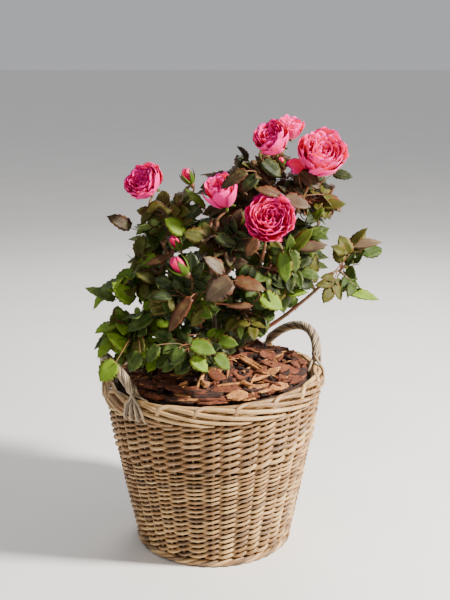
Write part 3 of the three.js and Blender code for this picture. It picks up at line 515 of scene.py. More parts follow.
# The stage, in metres: its floor, and each light's name, place, power, size and colour
FLOOR_SIZE = 90
FLOOR_DROP = 0.0005
SKY_LIGHT = 0.48
LIGHTS_AIM = (0.02, 0, 0.45)
LIGHTS = [
    ("key", (2.1, -0.75, 2.1), 290, 0.34, (1.0, 0.95, 0.88)),
    ("fill", (-1.8, -1.9, 1.3), 5, 1.8, (0.92, 0.96, 1.0)),
    ("back", (0.2, 2.0, 1.9), 30, 1.2, (1.0, 0.98, 0.95)),
]


def tone(red, green, blue):
    """A screen colour of 0 to 255 a channel as the linear colour that shaders take."""
    linear = []
    for value in (red, green, blue):
        share = value / 255
        linear.append(share / 12.92 if share < 0.04045 else ((share + 0.055) / 1.055) ** 2.4)
    return (*linear, 1.0)


def colour_setting(name, description, default):
    """A colour that a user may change."""
    return bpy.props.FloatVectorProperty(
        name=name, description=description, subtype="COLOR", size=4, min=0, max=1,
        default=tone(*default))


def length_setting(name, description, default):
    """A length in metres that a user may change, given here in millimetres."""
    return bpy.props.FloatProperty(
        name=name, description=description, default=default * MM, min=0, subtype="DISTANCE",
        unit="LENGTH", precision=4)


class RoseBasketSettings(bpy.types.PropertyGroup):
    """Sizes and colours of the basket and its filling."""

    stake: length_setting("Stake radius", "Radius of the upright stakes", 2.9)
    lower_butt: length_setting("Lower rod, thick end", "Radius where a lower rod starts", 3.0)
    lower_tip: length_setting("Lower rod, thin end", "Radius where a lower rod ends", 1.9)
    upper_butt: length_setting("Upper rod, thick end", "Radius where an upper rod starts", 3.5)
    upper_tip: length_setting("Upper rod, thin end", "Radius where an upper rod ends", 2.6)
    border_rod: length_setting("Border rod", "Radius of the rods of the rim", 4.1)
    handle_rod: length_setting("Handle rod", "Radius of the rods wound into a handle", 2.3)
    chips: bpy.props.IntProperty(
        name="Bark chips", description="Number of bark chips on the mulch", default=500, min=0)
    splinters: bpy.props.IntProperty(
        name="Splinters", description="Number of splinters on the mulch", default=190, min=0)
    honey: colour_setting("Honey rods", "The lightest rods", (206, 166, 108))
    tan: colour_setting("Tan rods", "Most of the rods", (160, 118, 70))
    smoke: colour_setting("Grey rods", "The weathered rods", (122, 90, 56))
    worn: colour_setting("Worn rods", "The handles' dark rods", (92, 72, 54))
    rope: colour_setting("Handle rods", "The rods of the handles", (178, 156, 124))
    red_bark: colour_setting("Red bark", "Chips of red-brown bark", (120, 62, 36))
    dark_bark: colour_setting("Dark bark", "Chips of old bark", (52, 31, 23))
    pale_bark: colour_setting("Pale wood", "Splinters and the chips' fresh faces", (200, 136, 72))


class RosePlantSettings(bpy.types.PropertyGroup):
    """Sizes and colours of the plant."""

    leaf_reach: length_setting("Leaf length", "Length of a whole leaf on its stalk", LEAF_REACH)
    fullness: bpy.props.FloatProperty(
        name="Fullness", description="Leaves for each leaf of the solid masses", default=2.4, min=0)
    leaf_thickness: length_setting("Leaf thickness", "Thickness of a leaflet", 0.5)
    petal_thickness: length_setting("Petal thickness", "Thickness of a petal", 0.6)
    dark_leaf: colour_setting("Dark leaf", "Old leaves in the shade", (24, 36, 5))
    mid_leaf: colour_setting("Green leaf", "Grown leaves", (48, 68, 8))
    olive_leaf: colour_setting("Olive leaf", "Leaves of olive green", (72, 70, 10))
    lime_leaf: colour_setting("Lime leaf", "Young leaves in the light", (108, 138, 22))
    fresh_leaf: colour_setting("Fresh leaf", "Leaves of bright green", (74, 100, 14))
    bronze_leaf: colour_setting("Bronze leaf", "Newest leaves", (56, 36, 20))
    copper_leaf: colour_setting("Copper leaf", "Newest leaves of a redder brown", (86, 50, 28))
    pale_under: colour_setting("Leaf underside", "The underside of green leaves", (92, 108, 50))
    silver_under: colour_setting("Bronze underside", "The underside of new leaves", (104, 82, 62))
    silver_leaf: colour_setting("Silver leaf", "New leaves that shine silvery", (88, 68, 54))
    petal_heart: colour_setting("Petal heart", "The petals' deep pink", (254, 0, 92))
    petal_rim: colour_setting("Petal rim", "The petals' light rims", (255, 24, 160))
    petal_back: colour_setting("Petal back", "The petals' outer side", (255, 22, 148))
    old_cane: colour_setting("Old cane", "Bark of the stock and the canes' feet", (92, 70, 48))
    young_cane: colour_setting("Young cane", "Skin of canes", (104, 88, 46))
    young_stem: colour_setting("Young stem", "Skin of stalks and twigs", (138, 74, 52))


def unit(vector):
    """A vector of length 1."""
    vector = np.asarray(vector, float)
    return vector / (np.linalg.norm(vector) + 1e-12)


def seeded(seed):
    """The same numbers from 0 to 1 every time for the same seed."""
    mask = 0xFFFFFFFF
    state = seed & mask

    def draw():
        nonlocal state
        state = (state + 0x6D2B79F5) & mask
        mixed = ((state ^ (state >> 15)) * (1 | state)) & mask
        mixed = ((mixed + (((mixed ^ (mixed >> 7)) * (61 | mixed)) & mask)) & mask) ^ mixed
        return (mixed ^ (mixed >> 14)) / 4294967296

    return draw


def around(radius, angle, height):
    """Points by radius and angle round an upright axis, and by height."""
    return np.stack([radius * np.cos(angle), radius * np.sin(angle), height], -1)


def dealt(pick, mix):
    """The finish of a mix that a number from 0 to 1 falls on."""
    return next(finish for limit, finish in mix if pick < limit)


def bezier(share, corners):
    """Points of a cubic Bezier curve at shares of its way."""
    a, b, c, d = (np.asarray(corner, float) for corner in corners)
    rest = 1 - share
    return rest ** 3 * a + 3 * rest ** 2 * share * b + 3 * rest * share * share * c + share ** 3 * d


def points_of(piece):
    """A piece's points in millimetres."""
    return np.array([vertex.co[:] for vertex in piece.data.vertices]) / MM


def reshape(piece, points, finish):
    """Moves a piece's points, which are given in millimetres, and gives it a finish."""
    piece.data.vertices.foreach_set("co", (points * MM).astype(np.float32).ravel())
    piece.data.update()
    piece.data.shade_smooth()
    piece.data.materials.append(FINISHES[finish])


class Heap:
    """Points and faces gathered in arrays and made into one mesh."""

    def __init__(self, name, finishes):
        self.name = name
        self.finishes = finishes
        self.points = []
        self.faces = []
        self.spots = []
        self.looks = []
        self.smooth = []
        self.count = 0

    def add_faces(self, faces, spots, finish, smooth=True):
        """Adds faces of the points that add_points adds next, and their places on the UV map."""
        self.faces.append(faces + self.count)
        self.spots.append(spots)
        self.looks.append(np.full(len(faces), self.finishes.index(finish)))
        self.smooth.append(np.full(len(faces), smooth))

    def add_points(self, points):
        """Adds the points of the faces added just before."""
        self.points.append(points)
        self.count += len(points)

    def add(self, shape, finish, smooth=True):
        """Adds a shape, as points and groups of faces with their spots, with one finish."""
        points, groups = shape
        for faces, spots in groups:
            self.add_faces(faces, spots, finish, smooth)
        self.add_points(points)

    def add_blade(self, grid, thickness, upper, lower):
        """Adds a thin blade over a grid of points, with a finish for each side."""
        points, top, bottom = blade(grid, thickness)
        self.add_faces(*top, upper)
        self.add_faces(*bottom, lower)
        self.add_points(points)

    def made(self):
        """The finished object, its place in its mesh."""
        mesh = bpy.data.meshes.new(self.name)
        points = np.concatenate(self.points) * MM
        corners = np.concatenate([faces.ravel() for faces in self.faces])
        sizes = np.concatenate([np.full(len(faces), faces.shape[1]) for faces in self.faces])
        starts = np.concatenate([[0], np.cumsum(sizes)[:-1]])
        mesh.vertices.add(len(points))
        mesh.vertices.foreach_set("co", points.astype(np.float32).ravel())
        mesh.loops.add(len(corners))
        mesh.loops.foreach_set("vertex_index", corners.astype(np.int32))
        mesh.polygons.add(len(starts))
        mesh.polygons.foreach_set("loop_start", starts.astype(np.int32))
        mesh.polygons.foreach_set("material_index", np.concatenate(self.looks).astype(np.int32))
        mesh.update(calc_edges=True)
        mesh.polygons.foreach_set("use_smooth", np.concatenate(self.smooth))
        layer = mesh.uv_layers.new(name="spots")
        spots = np.concatenate([spots.reshape(-1, 2) for spots in self.spots])
        layer.data.foreach_set("uv", spots.astype(np.float32).ravel())
        for finish in self.finishes:
            mesh.materials.append(FINISHES[finish])
        mesh.validate()
        made = bpy.data.objects.new(self.name, mesh)
        bpy.context.scene.collection.objects.link(made)
        return made


def ring_faces(count, sides):
    """Quads between rings of points and caps to the two poles that follow the rings.

    With them come each quad's ring and side.
    """
    ring, side = (part.ravel() for part in np.meshgrid(
        np.arange(count - 1), np.arange(sides), indexing="ij"))
    following = (side + 1) % sides
    quads = np.stack([ring * sides + side, ring * sides + following,
                      (ring + 1) * sides + following, (ring + 1) * sides + side], 1)
    corner = np.arange(sides)
    following = (corner + 1) % sides
    last_ring = (count - 1) * sides
    first_pole, last_pole = np.full(sides, count * sides), np.full(sides, count * sides + 1)
    caps = np.concatenate([np.stack([first_pole, following, corner], 1),
                           np.stack([last_pole, last_ring + corner, last_ring + following], 1)])
    return quads, caps, ring, side


def tube(path, radii, sides, start_pole=0.0, end_pole=0.0):
    """A closed tube round a path, its ends drawn out to a point by the given lengths."""
    path = np.asarray(path, float)
    count = len(path)
    radii = np.broadcast_to(np.asarray(radii, float), (count,))
    heading = np.gradient(path, axis=0)
    heading /= np.linalg.norm(heading, axis=1, keepdims=True) + 1e-12
    side = np.array([0.0, 0.0, 1.0]) if abs(heading[0][2]) < 0.9 else np.array([1.0, 0.0, 0.0])
    angles = np.arange(sides) / sides * FULL_TURN
    rings = np.empty((count, sides, 3))
    for i in range(count):
        side = unit(side - heading[i] * side.dot(heading[i]))
        other = np.cross(heading[i], side)
        spoke = np.outer(np.cos(angles), side) + np.outer(np.sin(angles), other)
        rings[i] = path[i] + spoke * radii[i]
    poles = np.array([path[0] - heading[0] * start_pole, path[-1] + heading[-1] * end_pole])
    points = np.concatenate([rings.reshape(-1, 3), poles])
    length = np.concatenate([[0], np.cumsum(np.linalg.norm(np.diff(path, axis=0), axis=1))])
    length /= SPOT_LENGTH
    quads, caps, ring, place = ring_faces(count, sides)
    near, far = length[ring], length[ring + 1]
    left, right = place / sides, (place + 1) / sides
    quad_spots = np.stack([np.stack([near, left], 1), np.stack([near, right], 1),
                           np.stack([far, right], 1), np.stack([far, left], 1)], 1)
    cap_spots = np.zeros((len(caps), 3, 2))
    cap_spots[sides:, :, 0] = length[-1]
    return points, [(quads, quad_spots), (caps, cap_spots)]


def blade(grid, thickness):
    """The two sides of a thin closed blade over a grid of points, which share its edge.

    The upper side faces along the cross product of the grid's two directions.
    """
    rows, cols = grid.shape[:2]
    normal = np.cross(np.gradient(grid, axis=0), np.gradient(grid, axis=1))
    normal /= np.linalg.norm(normal, axis=2, keepdims=True) + 1e-12
    upper = grid.copy()
    upper[1:-1, 1:-1] += normal[1:-1, 1:-1] * thickness / 2
    lower = (grid - normal * thickness / 2)[1:-1, 1:-1]
    numbers = np.arange(rows * cols).reshape(rows, cols)
    under = numbers.copy()
    under[1:-1, 1:-1] = rows * cols + np.arange((rows - 2) * (cols - 2)).reshape(rows - 2, cols - 2)
    points = np.concatenate([upper.reshape(-1, 3), lower.reshape(-1, 3)])
    spots = np.stack(np.meshgrid(np.linspace(0, 1, rows), np.linspace(0, 1, cols), indexing="ij"), 2)

    def corners(table):
        return np.stack([table[:-1, :-1], table[1:, :-1], table[1:, 1:], table[:-1, 1:]], 2)

    faces = corners(numbers).reshape(-1, 4)
    back = corners(under).reshape(-1, 4)[:, ::-1]
    places = corners(spots).reshape(-1, 4, 2)
    return points, (faces, places), (back, places[:, ::-1])


class Curve:
    """A cubic Bezier curve, walked by its length."""

    def __init__(self, *corners):
        self.points = bezier(np.linspace(0, 1, 201)[:, None], corners)
        steps = np.linalg.norm(np.diff(self.points, axis=0), axis=1)
        self.lengths = np.concatenate([[0], np.cumsum(steps)])
        self.length = self.lengths[-1]

    def at(self, share):
        """The point at a share of the length, or one for each share."""
        place = np.asarray(share, float) * self.length
        return np.stack([np.interp(place, self.lengths, self.points[:, k]) for k in range(3)], -1)

    def heading(self, share):
        """The way that the curve runs at a share of its length."""
        return unit(self.at(min(share + 0.01, 1)) - self.at(max(share - 0.01, 0)))


def smooth_path(points, count):
    """Evenly spaced places on a smooth curve through the given points."""
    points = np.asarray(points, float)
    padded = np.concatenate([[2 * points[0] - points[1]], points, [2 * points[-1] - points[-2]]])
    share = np.linspace(0, len(points) - 1 - 1e-9, count)
    step = share.astype(int)
    t = (share - step)[:, None]
    a, b, c, d = (padded[step + k] for k in range(4))
    return 0.5 * (2 * b + (c - a) * t + (2 * a - 5 * b + 4 * c - d) * t ** 2
                  + (3 * b - a - 3 * c + d) * t ** 3)


def ripple(points, size, seed):
    """A gentle unevenness of about -1 to 1 over points, of bumps of the given size."""
    draw = seeded(seed)
    total = np.zeros(len(points))
    for _ in range(7):
        way = unit([draw() - 0.5, draw() - 0.5, draw() - 0.5]) * FULL_TURN / (size * (0.6 + draw()))
        total += np.sin(points @ way + draw() * FULL_TURN)
    return total / 3.2


# Finishes

FINISHES = {}


class Recipe:
    """A material's nodes, made and linked in a line or two each."""

    def __init__(self, name):
        self.material = bpy.data.materials.new(name)
        self.material.use_nodes = True
        self.tree = self.material.node_tree
        self.shader = self.tree.nodes["Principled BSDF"]
        self.places = self.tree.nodes.new("ShaderNodeTexCoord")
        FINISHES[name] = self.material

    def node(self, kind, values=(), **settings):
        """A node with its settings, and its inputs by value or by link."""
        node = self.tree.nodes.new(kind)
        for key, value in settings.items():
            setattr(node, key, value)
        self.feed(node, values)
        return node

    def feed(self, node, values):
        """Gives a node's inputs their values or links."""
        for socket, value in dict(values).items():
            if isinstance(value, bpy.types.NodeSocket):
                self.tree.links.new(value, node.inputs[socket])
            else:
                node.inputs[socket].default_value = value

    def stretched(self, output, scale):
        """The places of a pattern, stretched along an axis by a scale for each."""
        values = {"Vector": self.places.outputs[output], "Scale": scale}
        return self.node("ShaderNodeMapping", values).outputs["Vector"]

    def spots(self):
        """How far along a petal or leaflet a place is, and how far off its middle line."""
        spread = self.node("ShaderNodeSeparateXYZ", {"Vector": self.places.outputs["UV"]})
        off_middle = self.sum_of("ABSOLUTE", self.sum_of("SUBTRACT", spread.outputs["Y"], 0.5))
        return spread.outputs["X"], off_middle

    def noise(self, scale, places=None, detail=3.0, rough=0.55):
        """A cloudy amount, over the object's own places unless others are given."""
        places = places or self.places.outputs["Object"]
        node = self.node("ShaderNodeTexNoise", {
            "Vector": places, "Scale": scale, "Detail": detail, "Roughness": rough})
        return node.outputs["Fac"]

    def ramp(self, amount, stops):
        """Colours or shades by an amount: (place, colour) pairs."""
        node = self.node("ShaderNodeValToRGB", {"Fac": amount})
        band = node.color_ramp
        while len(band.elements) < len(stops):
            band.elements.new(0.5)
        for element, (place, colour) in zip(band.elements, stops):
            element.position = place
            element.color = colour
        return node.outputs["Color"]

    def mixed(self, amount, first, second, mode="MIX"):
        """Two colours mixed by an amount. The node's colours have the numbers 6 and 7."""
        values = {0: amount, 6: first, 7: second}
        return self.node("ShaderNodeMix", values, data_type="RGBA", blend_type=mode).outputs[2]

    def sum_of(self, operation, first, second=0.0):
        """What an operation makes of one or two amounts."""
        return self.node("ShaderNodeMath", {0: first, 1: second}, operation=operation).outputs[0]

    def finish(self, colour, rough, height, depth, strength, others=()):
        """Colour, roughness, relief and other inputs by their names go to the shader."""
        bump = self.node("ShaderNodeBump", {"Height": height, "Distance": depth, "Strength": strength})
        self.feed(self.shader, {"Base Color": colour, "Roughness": rough,
                                "Normal": bump.outputs["Normal"], **dict(others)})


def darker(colour, share):
    """A colour with its light cut to a share."""
    return (colour[0] * share, colour[1] * share, colour[2] * share, 1.0)


def between(first, second, share):
    """A colour part of the way from one to another."""
    return (*(a + (b - a) * share for a, b in zip(first[:3], second[:3])), 1.0)


def wicker_finish(name, colour):
    """Peeled willow: streaks along the rod, darker spots, a soft gloss."""
    recipe = Recipe(name)
    streaks = recipe.noise(1.0, recipe.stretched("UV", (0.35, 9.0, 1.0)), 4.0, 0.6)
    patches = recipe.noise(26.0)
    base = recipe.ramp(streaks, [(0.32, darker(colour, 0.55)), (0.5, colour),
                                 (0.72, between(colour, (0.9, 0.78, 0.58), 0.45))])
    worn = recipe.ramp(patches, [(0.35, (0.62, 0.55, 0.5, 1)), (0.6, WHITE)])
    mixed = recipe.mixed(0.75, base, worn, "MULTIPLY")
    rough = recipe.node("ShaderNodeMapRange", {"Value": patches, "To Min": 0.34, "To Max": 0.66})
    recipe.finish(mixed, rough.outputs[0], streaks, 0.0006, 0.5)


def bark_finish(name, colour, light):
    """Broken bark: layered grain with cracks, dull all over."""
    recipe = Recipe(name)
    grain = recipe.noise(1.0, recipe.stretched("Object", (150.0, 420.0, 300.0)), 6.0, 0.65)
    patches = recipe.noise(45.0, detail=4.0)
    base = recipe.ramp(grain, [(0.3, darker(colour, 0.3)), (0.52, colour), (0.75, light)])
    tint = recipe.ramp(patches, [(0.35, (0.5, 0.42, 0.4, 1)), (0.65, WHITE)])
    recipe.finish(recipe.mixed(0.8, base, tint, "MULTIPLY"), 0.9, grain, 0.0012, 0.9)


def cane_finish(name, colour, second):
    """A cane's skin: green and brown patches with fine lengthwise cracks."""
    recipe = Recipe(name)
    cracks = recipe.noise(1.0, recipe.stretched("UV", (0.5, 11.0, 1.0)), 5.0, 0.6)
    patches = recipe.noise(34.0)
    base = recipe.ramp(patches, [(0.35, colour), (0.65, second)])
    lines = recipe.ramp(cracks, [(0.34, (0.42, 0.36, 0.32, 1)), (0.55, WHITE)])
    recipe.finish(recipe.mixed(0.7, base, lines, "MULTIPLY"), 0.55, cracks, 0.0006, 0.7)


def leaf_finish(name, colour, edge, gloss):
    """A leaflet's side: a pale midrib and side veins pressed into it, a tinted edge."""
    recipe = Recipe(name)
    along, off_middle = recipe.spots()
    slanted = recipe.sum_of("SUBTRACT", along, recipe.sum_of("MULTIPLY", off_middle, 0.55))
    wave = recipe.sum_of("SINE", recipe.sum_of("MULTIPLY", slanted, VEIN_WAVES))
    veins = recipe.sum_of("POWER", recipe.sum_of("ABSOLUTE", wave), 5.0)
    rib = recipe.ramp(off_middle, [(0.0, WHITE), (0.025, BLACK)])
    cloud = recipe.noise(70.0)
    base = recipe.ramp(cloud, [(0.3, darker(colour, 0.68)), (0.52, colour),
                               (0.78, between(colour, (0.6, 0.7, 0.2), 0.14))])
    lines = recipe.sum_of("MAXIMUM", recipe.sum_of("MULTIPLY", veins, 0.3), rib)
    lined = recipe.mixed(recipe.sum_of("MULTIPLY", lines, VEIN_LIGHT), base,
                         between(colour, (0.7, 0.8, 0.4), 0.3))
    rim = recipe.ramp(off_middle, [(0.4, BLACK), (0.5, WHITE)])
    edged = recipe.mixed(recipe.sum_of("MULTIPLY", rim, 0.55), lined, edge)
    fine = recipe.noise(900.0, detail=2.0)
    height = recipe.sum_of("ADD", recipe.sum_of("MULTIPLY", lines, -1.0),
                           recipe.sum_of("MULTIPLY", fine, 0.25))
    rough = recipe.node("ShaderNodeMapRange", {
        "Value": cloud, "To Min": gloss, "To Max": gloss + 0.18})
    recipe.finish(edged, rough.outputs[0], height, 0.0007, 0.8, {"Specular IOR Level": 0.18})


def petal_finish(name, heart, rim, back=False):
    """A petal's side: deep colour at the heart, its foot darker still with painted shade, lighter to the
    rim, fine lengthwise veins.
    """
    recipe = Recipe(name)
    along, off_middle = recipe.spots()
    lines = recipe.noise(1.0, recipe.stretched("UV", (2.0, 34.0, 1.0)), 3.0, 0.6)
    cloud = recipe.noise(85.0)
    shifted = recipe.sum_of("ADD", along, recipe.sum_of("MULTIPLY", cloud, 0.28))
    # The petal's foot is darkened past the heart's own deep pink: painted shade deep in the bloom, where
    # the petals overlap
    deep = darker(heart, 0.72)
    if back:
        stops = [(0.1, between(heart, rim, 0.2)), (0.6, between(heart, rim, 0.8))]
    else:
        stops = [(0.25, heart), (0.85, between(heart, rim, 0.35))]
    # From the foot with its painted shade, through the heart's own pink, to the rim
    base = recipe.ramp(recipe.sum_of("MULTIPLY", shifted, 0.9), [(0.05, deep), *stops, (1.0, rim)])
    veined = recipe.mixed(recipe.sum_of("MULTIPLY", lines, 0.3), base, darker(heart, 0.8))
    edge = recipe.ramp(off_middle, [(0.36, BLACK), (0.5, WHITE)])
    edged = recipe.mixed(recipe.sum_of("MULTIPLY", edge, 0.3), veined, rim)
    recipe.finish(edged, 0.5, lines, 0.0004, 0.5, {
        "Sheen Weight": 0.1, "Specular IOR Level": 0.2, "Subsurface Weight": 0.3,
        "Subsurface Radius": (0.006, 0.001, 0.002), "Subsurface Scale": 0.5})


def soil_finish(name):
    """Dark crumbly compost."""
    recipe = Recipe(name)
    crumbs = recipe.noise(220.0, detail=6.0, rough=0.7)
    base = recipe.ramp(crumbs, [(0.35, tone(30, 18, 13)), (0.6, tone(62, 38, 26)),
                                (0.8, tone(108, 66, 42))])
    recipe.finish(base, 0.95, crumbs, 0.003, 1.0)


def floor_finish(name):
    """A plain pale floor."""
    recipe = Recipe(name)
    cloud = recipe.noise(3.0, detail=2.0)
    base = recipe.ramp(cloud, [(0.3, tone(238, 236, 231)), (0.7, tone(243, 241, 237))])
    recipe.finish(base, 0.8, cloud, 0.0002, 0.2)


def make_finishes(basket, plant):
    """Every finish, from the colours that the user sees."""
    for name, key in (("honey_rods", "honey"), ("tan_rods", "tan"), ("grey_rods", "smoke"),
                      ("worn_rods", "worn"), ("rope_rods", "rope")):
        wicker_finish(name, getattr(basket, key))
    bark_finish("red_bark", basket.red_bark, between(basket.red_bark, basket.pale_bark, 0.5))
    bark_finish("dark_bark", basket.dark_bark, basket.red_bark)
    bark_finish("pale_wood", basket.pale_bark, between(basket.pale_bark, (0.9, 0.8, 0.6), 0.4))
    soil_finish("soil")
    cane_finish("old_cane", plant.old_cane, darker(plant.old_cane, 0.55))
    cane_finish("young_cane", plant.young_cane, plant.young_stem)
    cane_finish("young_stem", plant.young_stem, plant.young_cane)
    red_edge = tone(150, 62, 44)
    green_edge = tone(120, 120, 50)
    copper_edge = tone(160, 60, 48)
    for name, edge, gloss in (
            ("dark_leaf", green_edge, 0.34), ("mid_leaf", green_edge, 0.36),
            ("olive_leaf", red_edge, 0.36), ("fresh_leaf", red_edge, 0.38),
            ("lime_leaf", red_edge, 0.4), ("bronze_leaf", red_edge, 0.3),
            ("copper_leaf", copper_edge, 0.32), ("silver_leaf", red_edge, 0.26),
            ("pale_under", green_edge, 0.5), ("silver_under", red_edge, 0.42)):
        leaf_finish(name, getattr(plant, name), edge, gloss)
    petal_finish("petal_face", plant.petal_heart, plant.petal_rim)
    petal_finish("petal_back", plant.petal_heart, plant.petal_back, back=True)
    petal_finish("bud_skin", plant.petal_heart, between(plant.petal_heart, plant.petal_rim, 0.25))
    floor_finish("floor")


# The basket


def rim_height(x):
    """How high the wall ends. The rim slants a little."""
    return WALL_TOP + RIM_SLANT * x


def wall_radius(height, top):
    """The wall's flare, from the foot up to its own top."""
    rise = np.clip(height / top, 0, 1)
    return FOOT_RADIUS + (WALL_RIM_RADIUS - FOOT_RADIUS) * (1 - (1 - rise) ** WALL_FLARE_POWER)


def on_wall(angle, height, outward):
    """Points on the wall by angle, by height below a level rim, and by depth."""
    top = rim_height(RIM_RADIUS * np.cos(angle))
    z = np.where(height > WALE_HEIGHT, WALE_HEIGHT + (height - WALE_HEIGHT)
                 * (top - WALE_HEIGHT) / (WALL_TOP - WALE_HEIGHT), height)
    return around(wall_radius(z, top) + outward, angle, z)


class Strays:
    """How a hand-made wall strays: stakes off their places, gaps between them up or down."""

    def __init__(self, draw):
        self.turned, self.outward, self.lift = (
            np.array([(draw() - 0.5) * most for _ in range(STAKE_COUNT)])
            for most in (STRAY_TURN, STRAY_OUT, STRAY_LIFT))

    def path(self, place, height, outward):
        """Points on the strayed wall, by how many stakes round, by height and by depth."""
        stakes = np.arange(STAKE_COUNT)
        turned = np.interp(place, stakes, self.turned, period=STAKE_COUNT)
        bulge = np.interp(place, stakes, self.outward, period=STAKE_COUNT)
        lift = np.interp(place, stakes + 0.5, self.lift, period=STAKE_COUNT)
        ends = np.minimum(height - WALE_HEIGHT, WALL_TOP - height)
        lift = lift * np.clip(ends / STRAY_END, 0, 1)
        return on_wall((place + turned) / STAKE_COUNT * FULL_TURN, height + lift, outward + bulge)


def add_wall_set(heap, bottom, top, rows, butt, tip, strays, draw):
    """One set of rods, each started behind its own stake and worked up to the right."""
    count = rows * ROD_STEPS + 1
    passed = np.linspace(0, rows, count)
    radii = butt + (tip - butt) * passed / rows
    rise = np.cumsum(radii)
    rise = (rise - rise[0]) / (rise[-1] - rise[0])
    wave = -np.cos(np.pi * passed)
    swing = np.sign(wave) * np.abs(wave) ** 0.8
    for first in range(STAKE_COUNT):
        sag = (draw() - 0.5) * ROD_SAG
        height = bottom + butt * 0.6 + (top - bottom - butt - tip) * rise + sag * np.sin(passed * 1.3)
        height += 0.3 * np.sin(passed * (1.1 + draw()) + draw() * 6)
        path = strays.path(first + passed, height, STAKE_DEPTH + (WEAVE_ROOM + radii) * swing)
        finish = dealt(draw(), WEAVE_MIX)
        heap.add(tube(path, radii * (0.95 + 0.1 * draw()), 7, 0.6, 0.6), finish)


def make_wall(basket):
    """The stakes and the two sets of rods woven round them, the upper ones thicker."""
    draw = seeded(71)
    strays = Strays(draw)
    sizes = {key: getattr(basket, key) / MM for key in (
        "stake", "lower_butt", "lower_tip", "upper_butt", "upper_tip")}
    stakes = Heap("basket_stakes", WICKER)
    heights = np.linspace(STAKE_FOOT, WALL_TOP + STAKE_OVER, 24)
    for k in range(STAKE_COUNT):
        path = strays.path(k + 0.03 * np.sin(heights / 40 + k), heights, STAKE_DEPTH)
        stakes.add(tube(path, sizes["stake"], 7, 0.5, 0.5), "grey_rods" if k % 3 else "tan_rods")
    lower = Heap("basket_lower_weave", WICKER)
    add_wall_set(lower, WALE_HEIGHT - 1, DIVIDE + 1, LOWER_ROWS,
                 sizes["lower_butt"], sizes["lower_tip"], strays, draw)
    upper = Heap("basket_upper_weave", WICKER)
    add_wall_set(upper, DIVIDE - 1.5, WALL_TOP + 3, UPPER_ROWS,
                 sizes["upper_butt"], sizes["upper_tip"], strays, draw)
    made = [heap.made() for heap in (stakes, lower, upper)]
    for piece in made:
        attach(piece, "root")
        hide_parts("basket_wall")


def make_wale():
    """Three rods twisted round one another along the foot."""
    heap = Heap("foot_twist", WICKER)
    angle = np.linspace(0, FULL_TURN, WALE_POINTS)
    for strand, finish in enumerate(WICKER):
        phase = angle * WALE_TURNS + strand * FULL_TURN / len(WICKER)
        radius = FOOT_RADIUS - 0.4 + WALE_SWING[0] * np.cos(phase)
        height = WALE_HEIGHT / 2 + WALE_SWING[1] * np.sin(phase)
        heap.add(tube(around(radius, angle, height), WALE_ROD, 8), finish)
    piece = heap.made()
    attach(piece, "root")
    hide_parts("foot_wale")


def in_border(angle, out, up):
    """Points in the rim's own section, by how far out and up from its middle."""
    height = rim_height(RIM_RADIUS * np.cos(angle)) + BORDER_HEIGHT / 2 + up
    return around(BORDER_MIDDLE + out, angle, height)


def make_border(basket):
    """The rim: rods that roll outward over the edge, and others that close it inside."""
    heap = Heap("rolled_border", WICKER)
    rod = basket.border_rod / MM
    draw = seeded(29)
    stroke = FULL_TURN / BORDER_STROKES
    for k in range(BORDER_STROKES):
        for roll, size, count in zip((OUTER_ROLL, INNER_ROLL), (1.0, INNER_ROD), BORDER_POINTS):
            way = smooth_path(roll, count)
            shift = (draw() - 0.5) * 0.12
            angle = (k + way[:, 0] + shift) * stroke
            share = np.linspace(0, 1, count)
            wobble = 0.5 * np.sin(share * 14 + draw() * 6)
            path = in_border(angle, way[:, 1] + wobble * 0.5, way[:, 2] + wobble)
            radii = rod * size * (1.02 - 0.2 * share) * (0.95 + 0.12 * draw())
            radii *= np.interp(share, [0, 0.82, 1], [1, 1, 0.5])
            heap.add(tube(path, radii, 9, 0.8, 1.6), dealt(draw(), BORDER_MIX))
    piece = heap.made()
    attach(piece, "root")
    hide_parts("top_border")


def handle_path(plan, count):
    """The middle of a handle's loop, from one foot on the rim to the other."""
    share = np.linspace(0, 1, count)
    angle = np.radians(plan["middle"] + plan["spread"] * (1 - 2 * share))
    lift = np.sin(np.pi * share) ** 0.62
    radius = BORDER_MIDDLE + plan["lean"] * lift
    foot = rim_height(radius * np.cos(angle)) + BORDER_HEIGHT - 1
    return around(radius, angle, foot + plan["rise"] * lift)


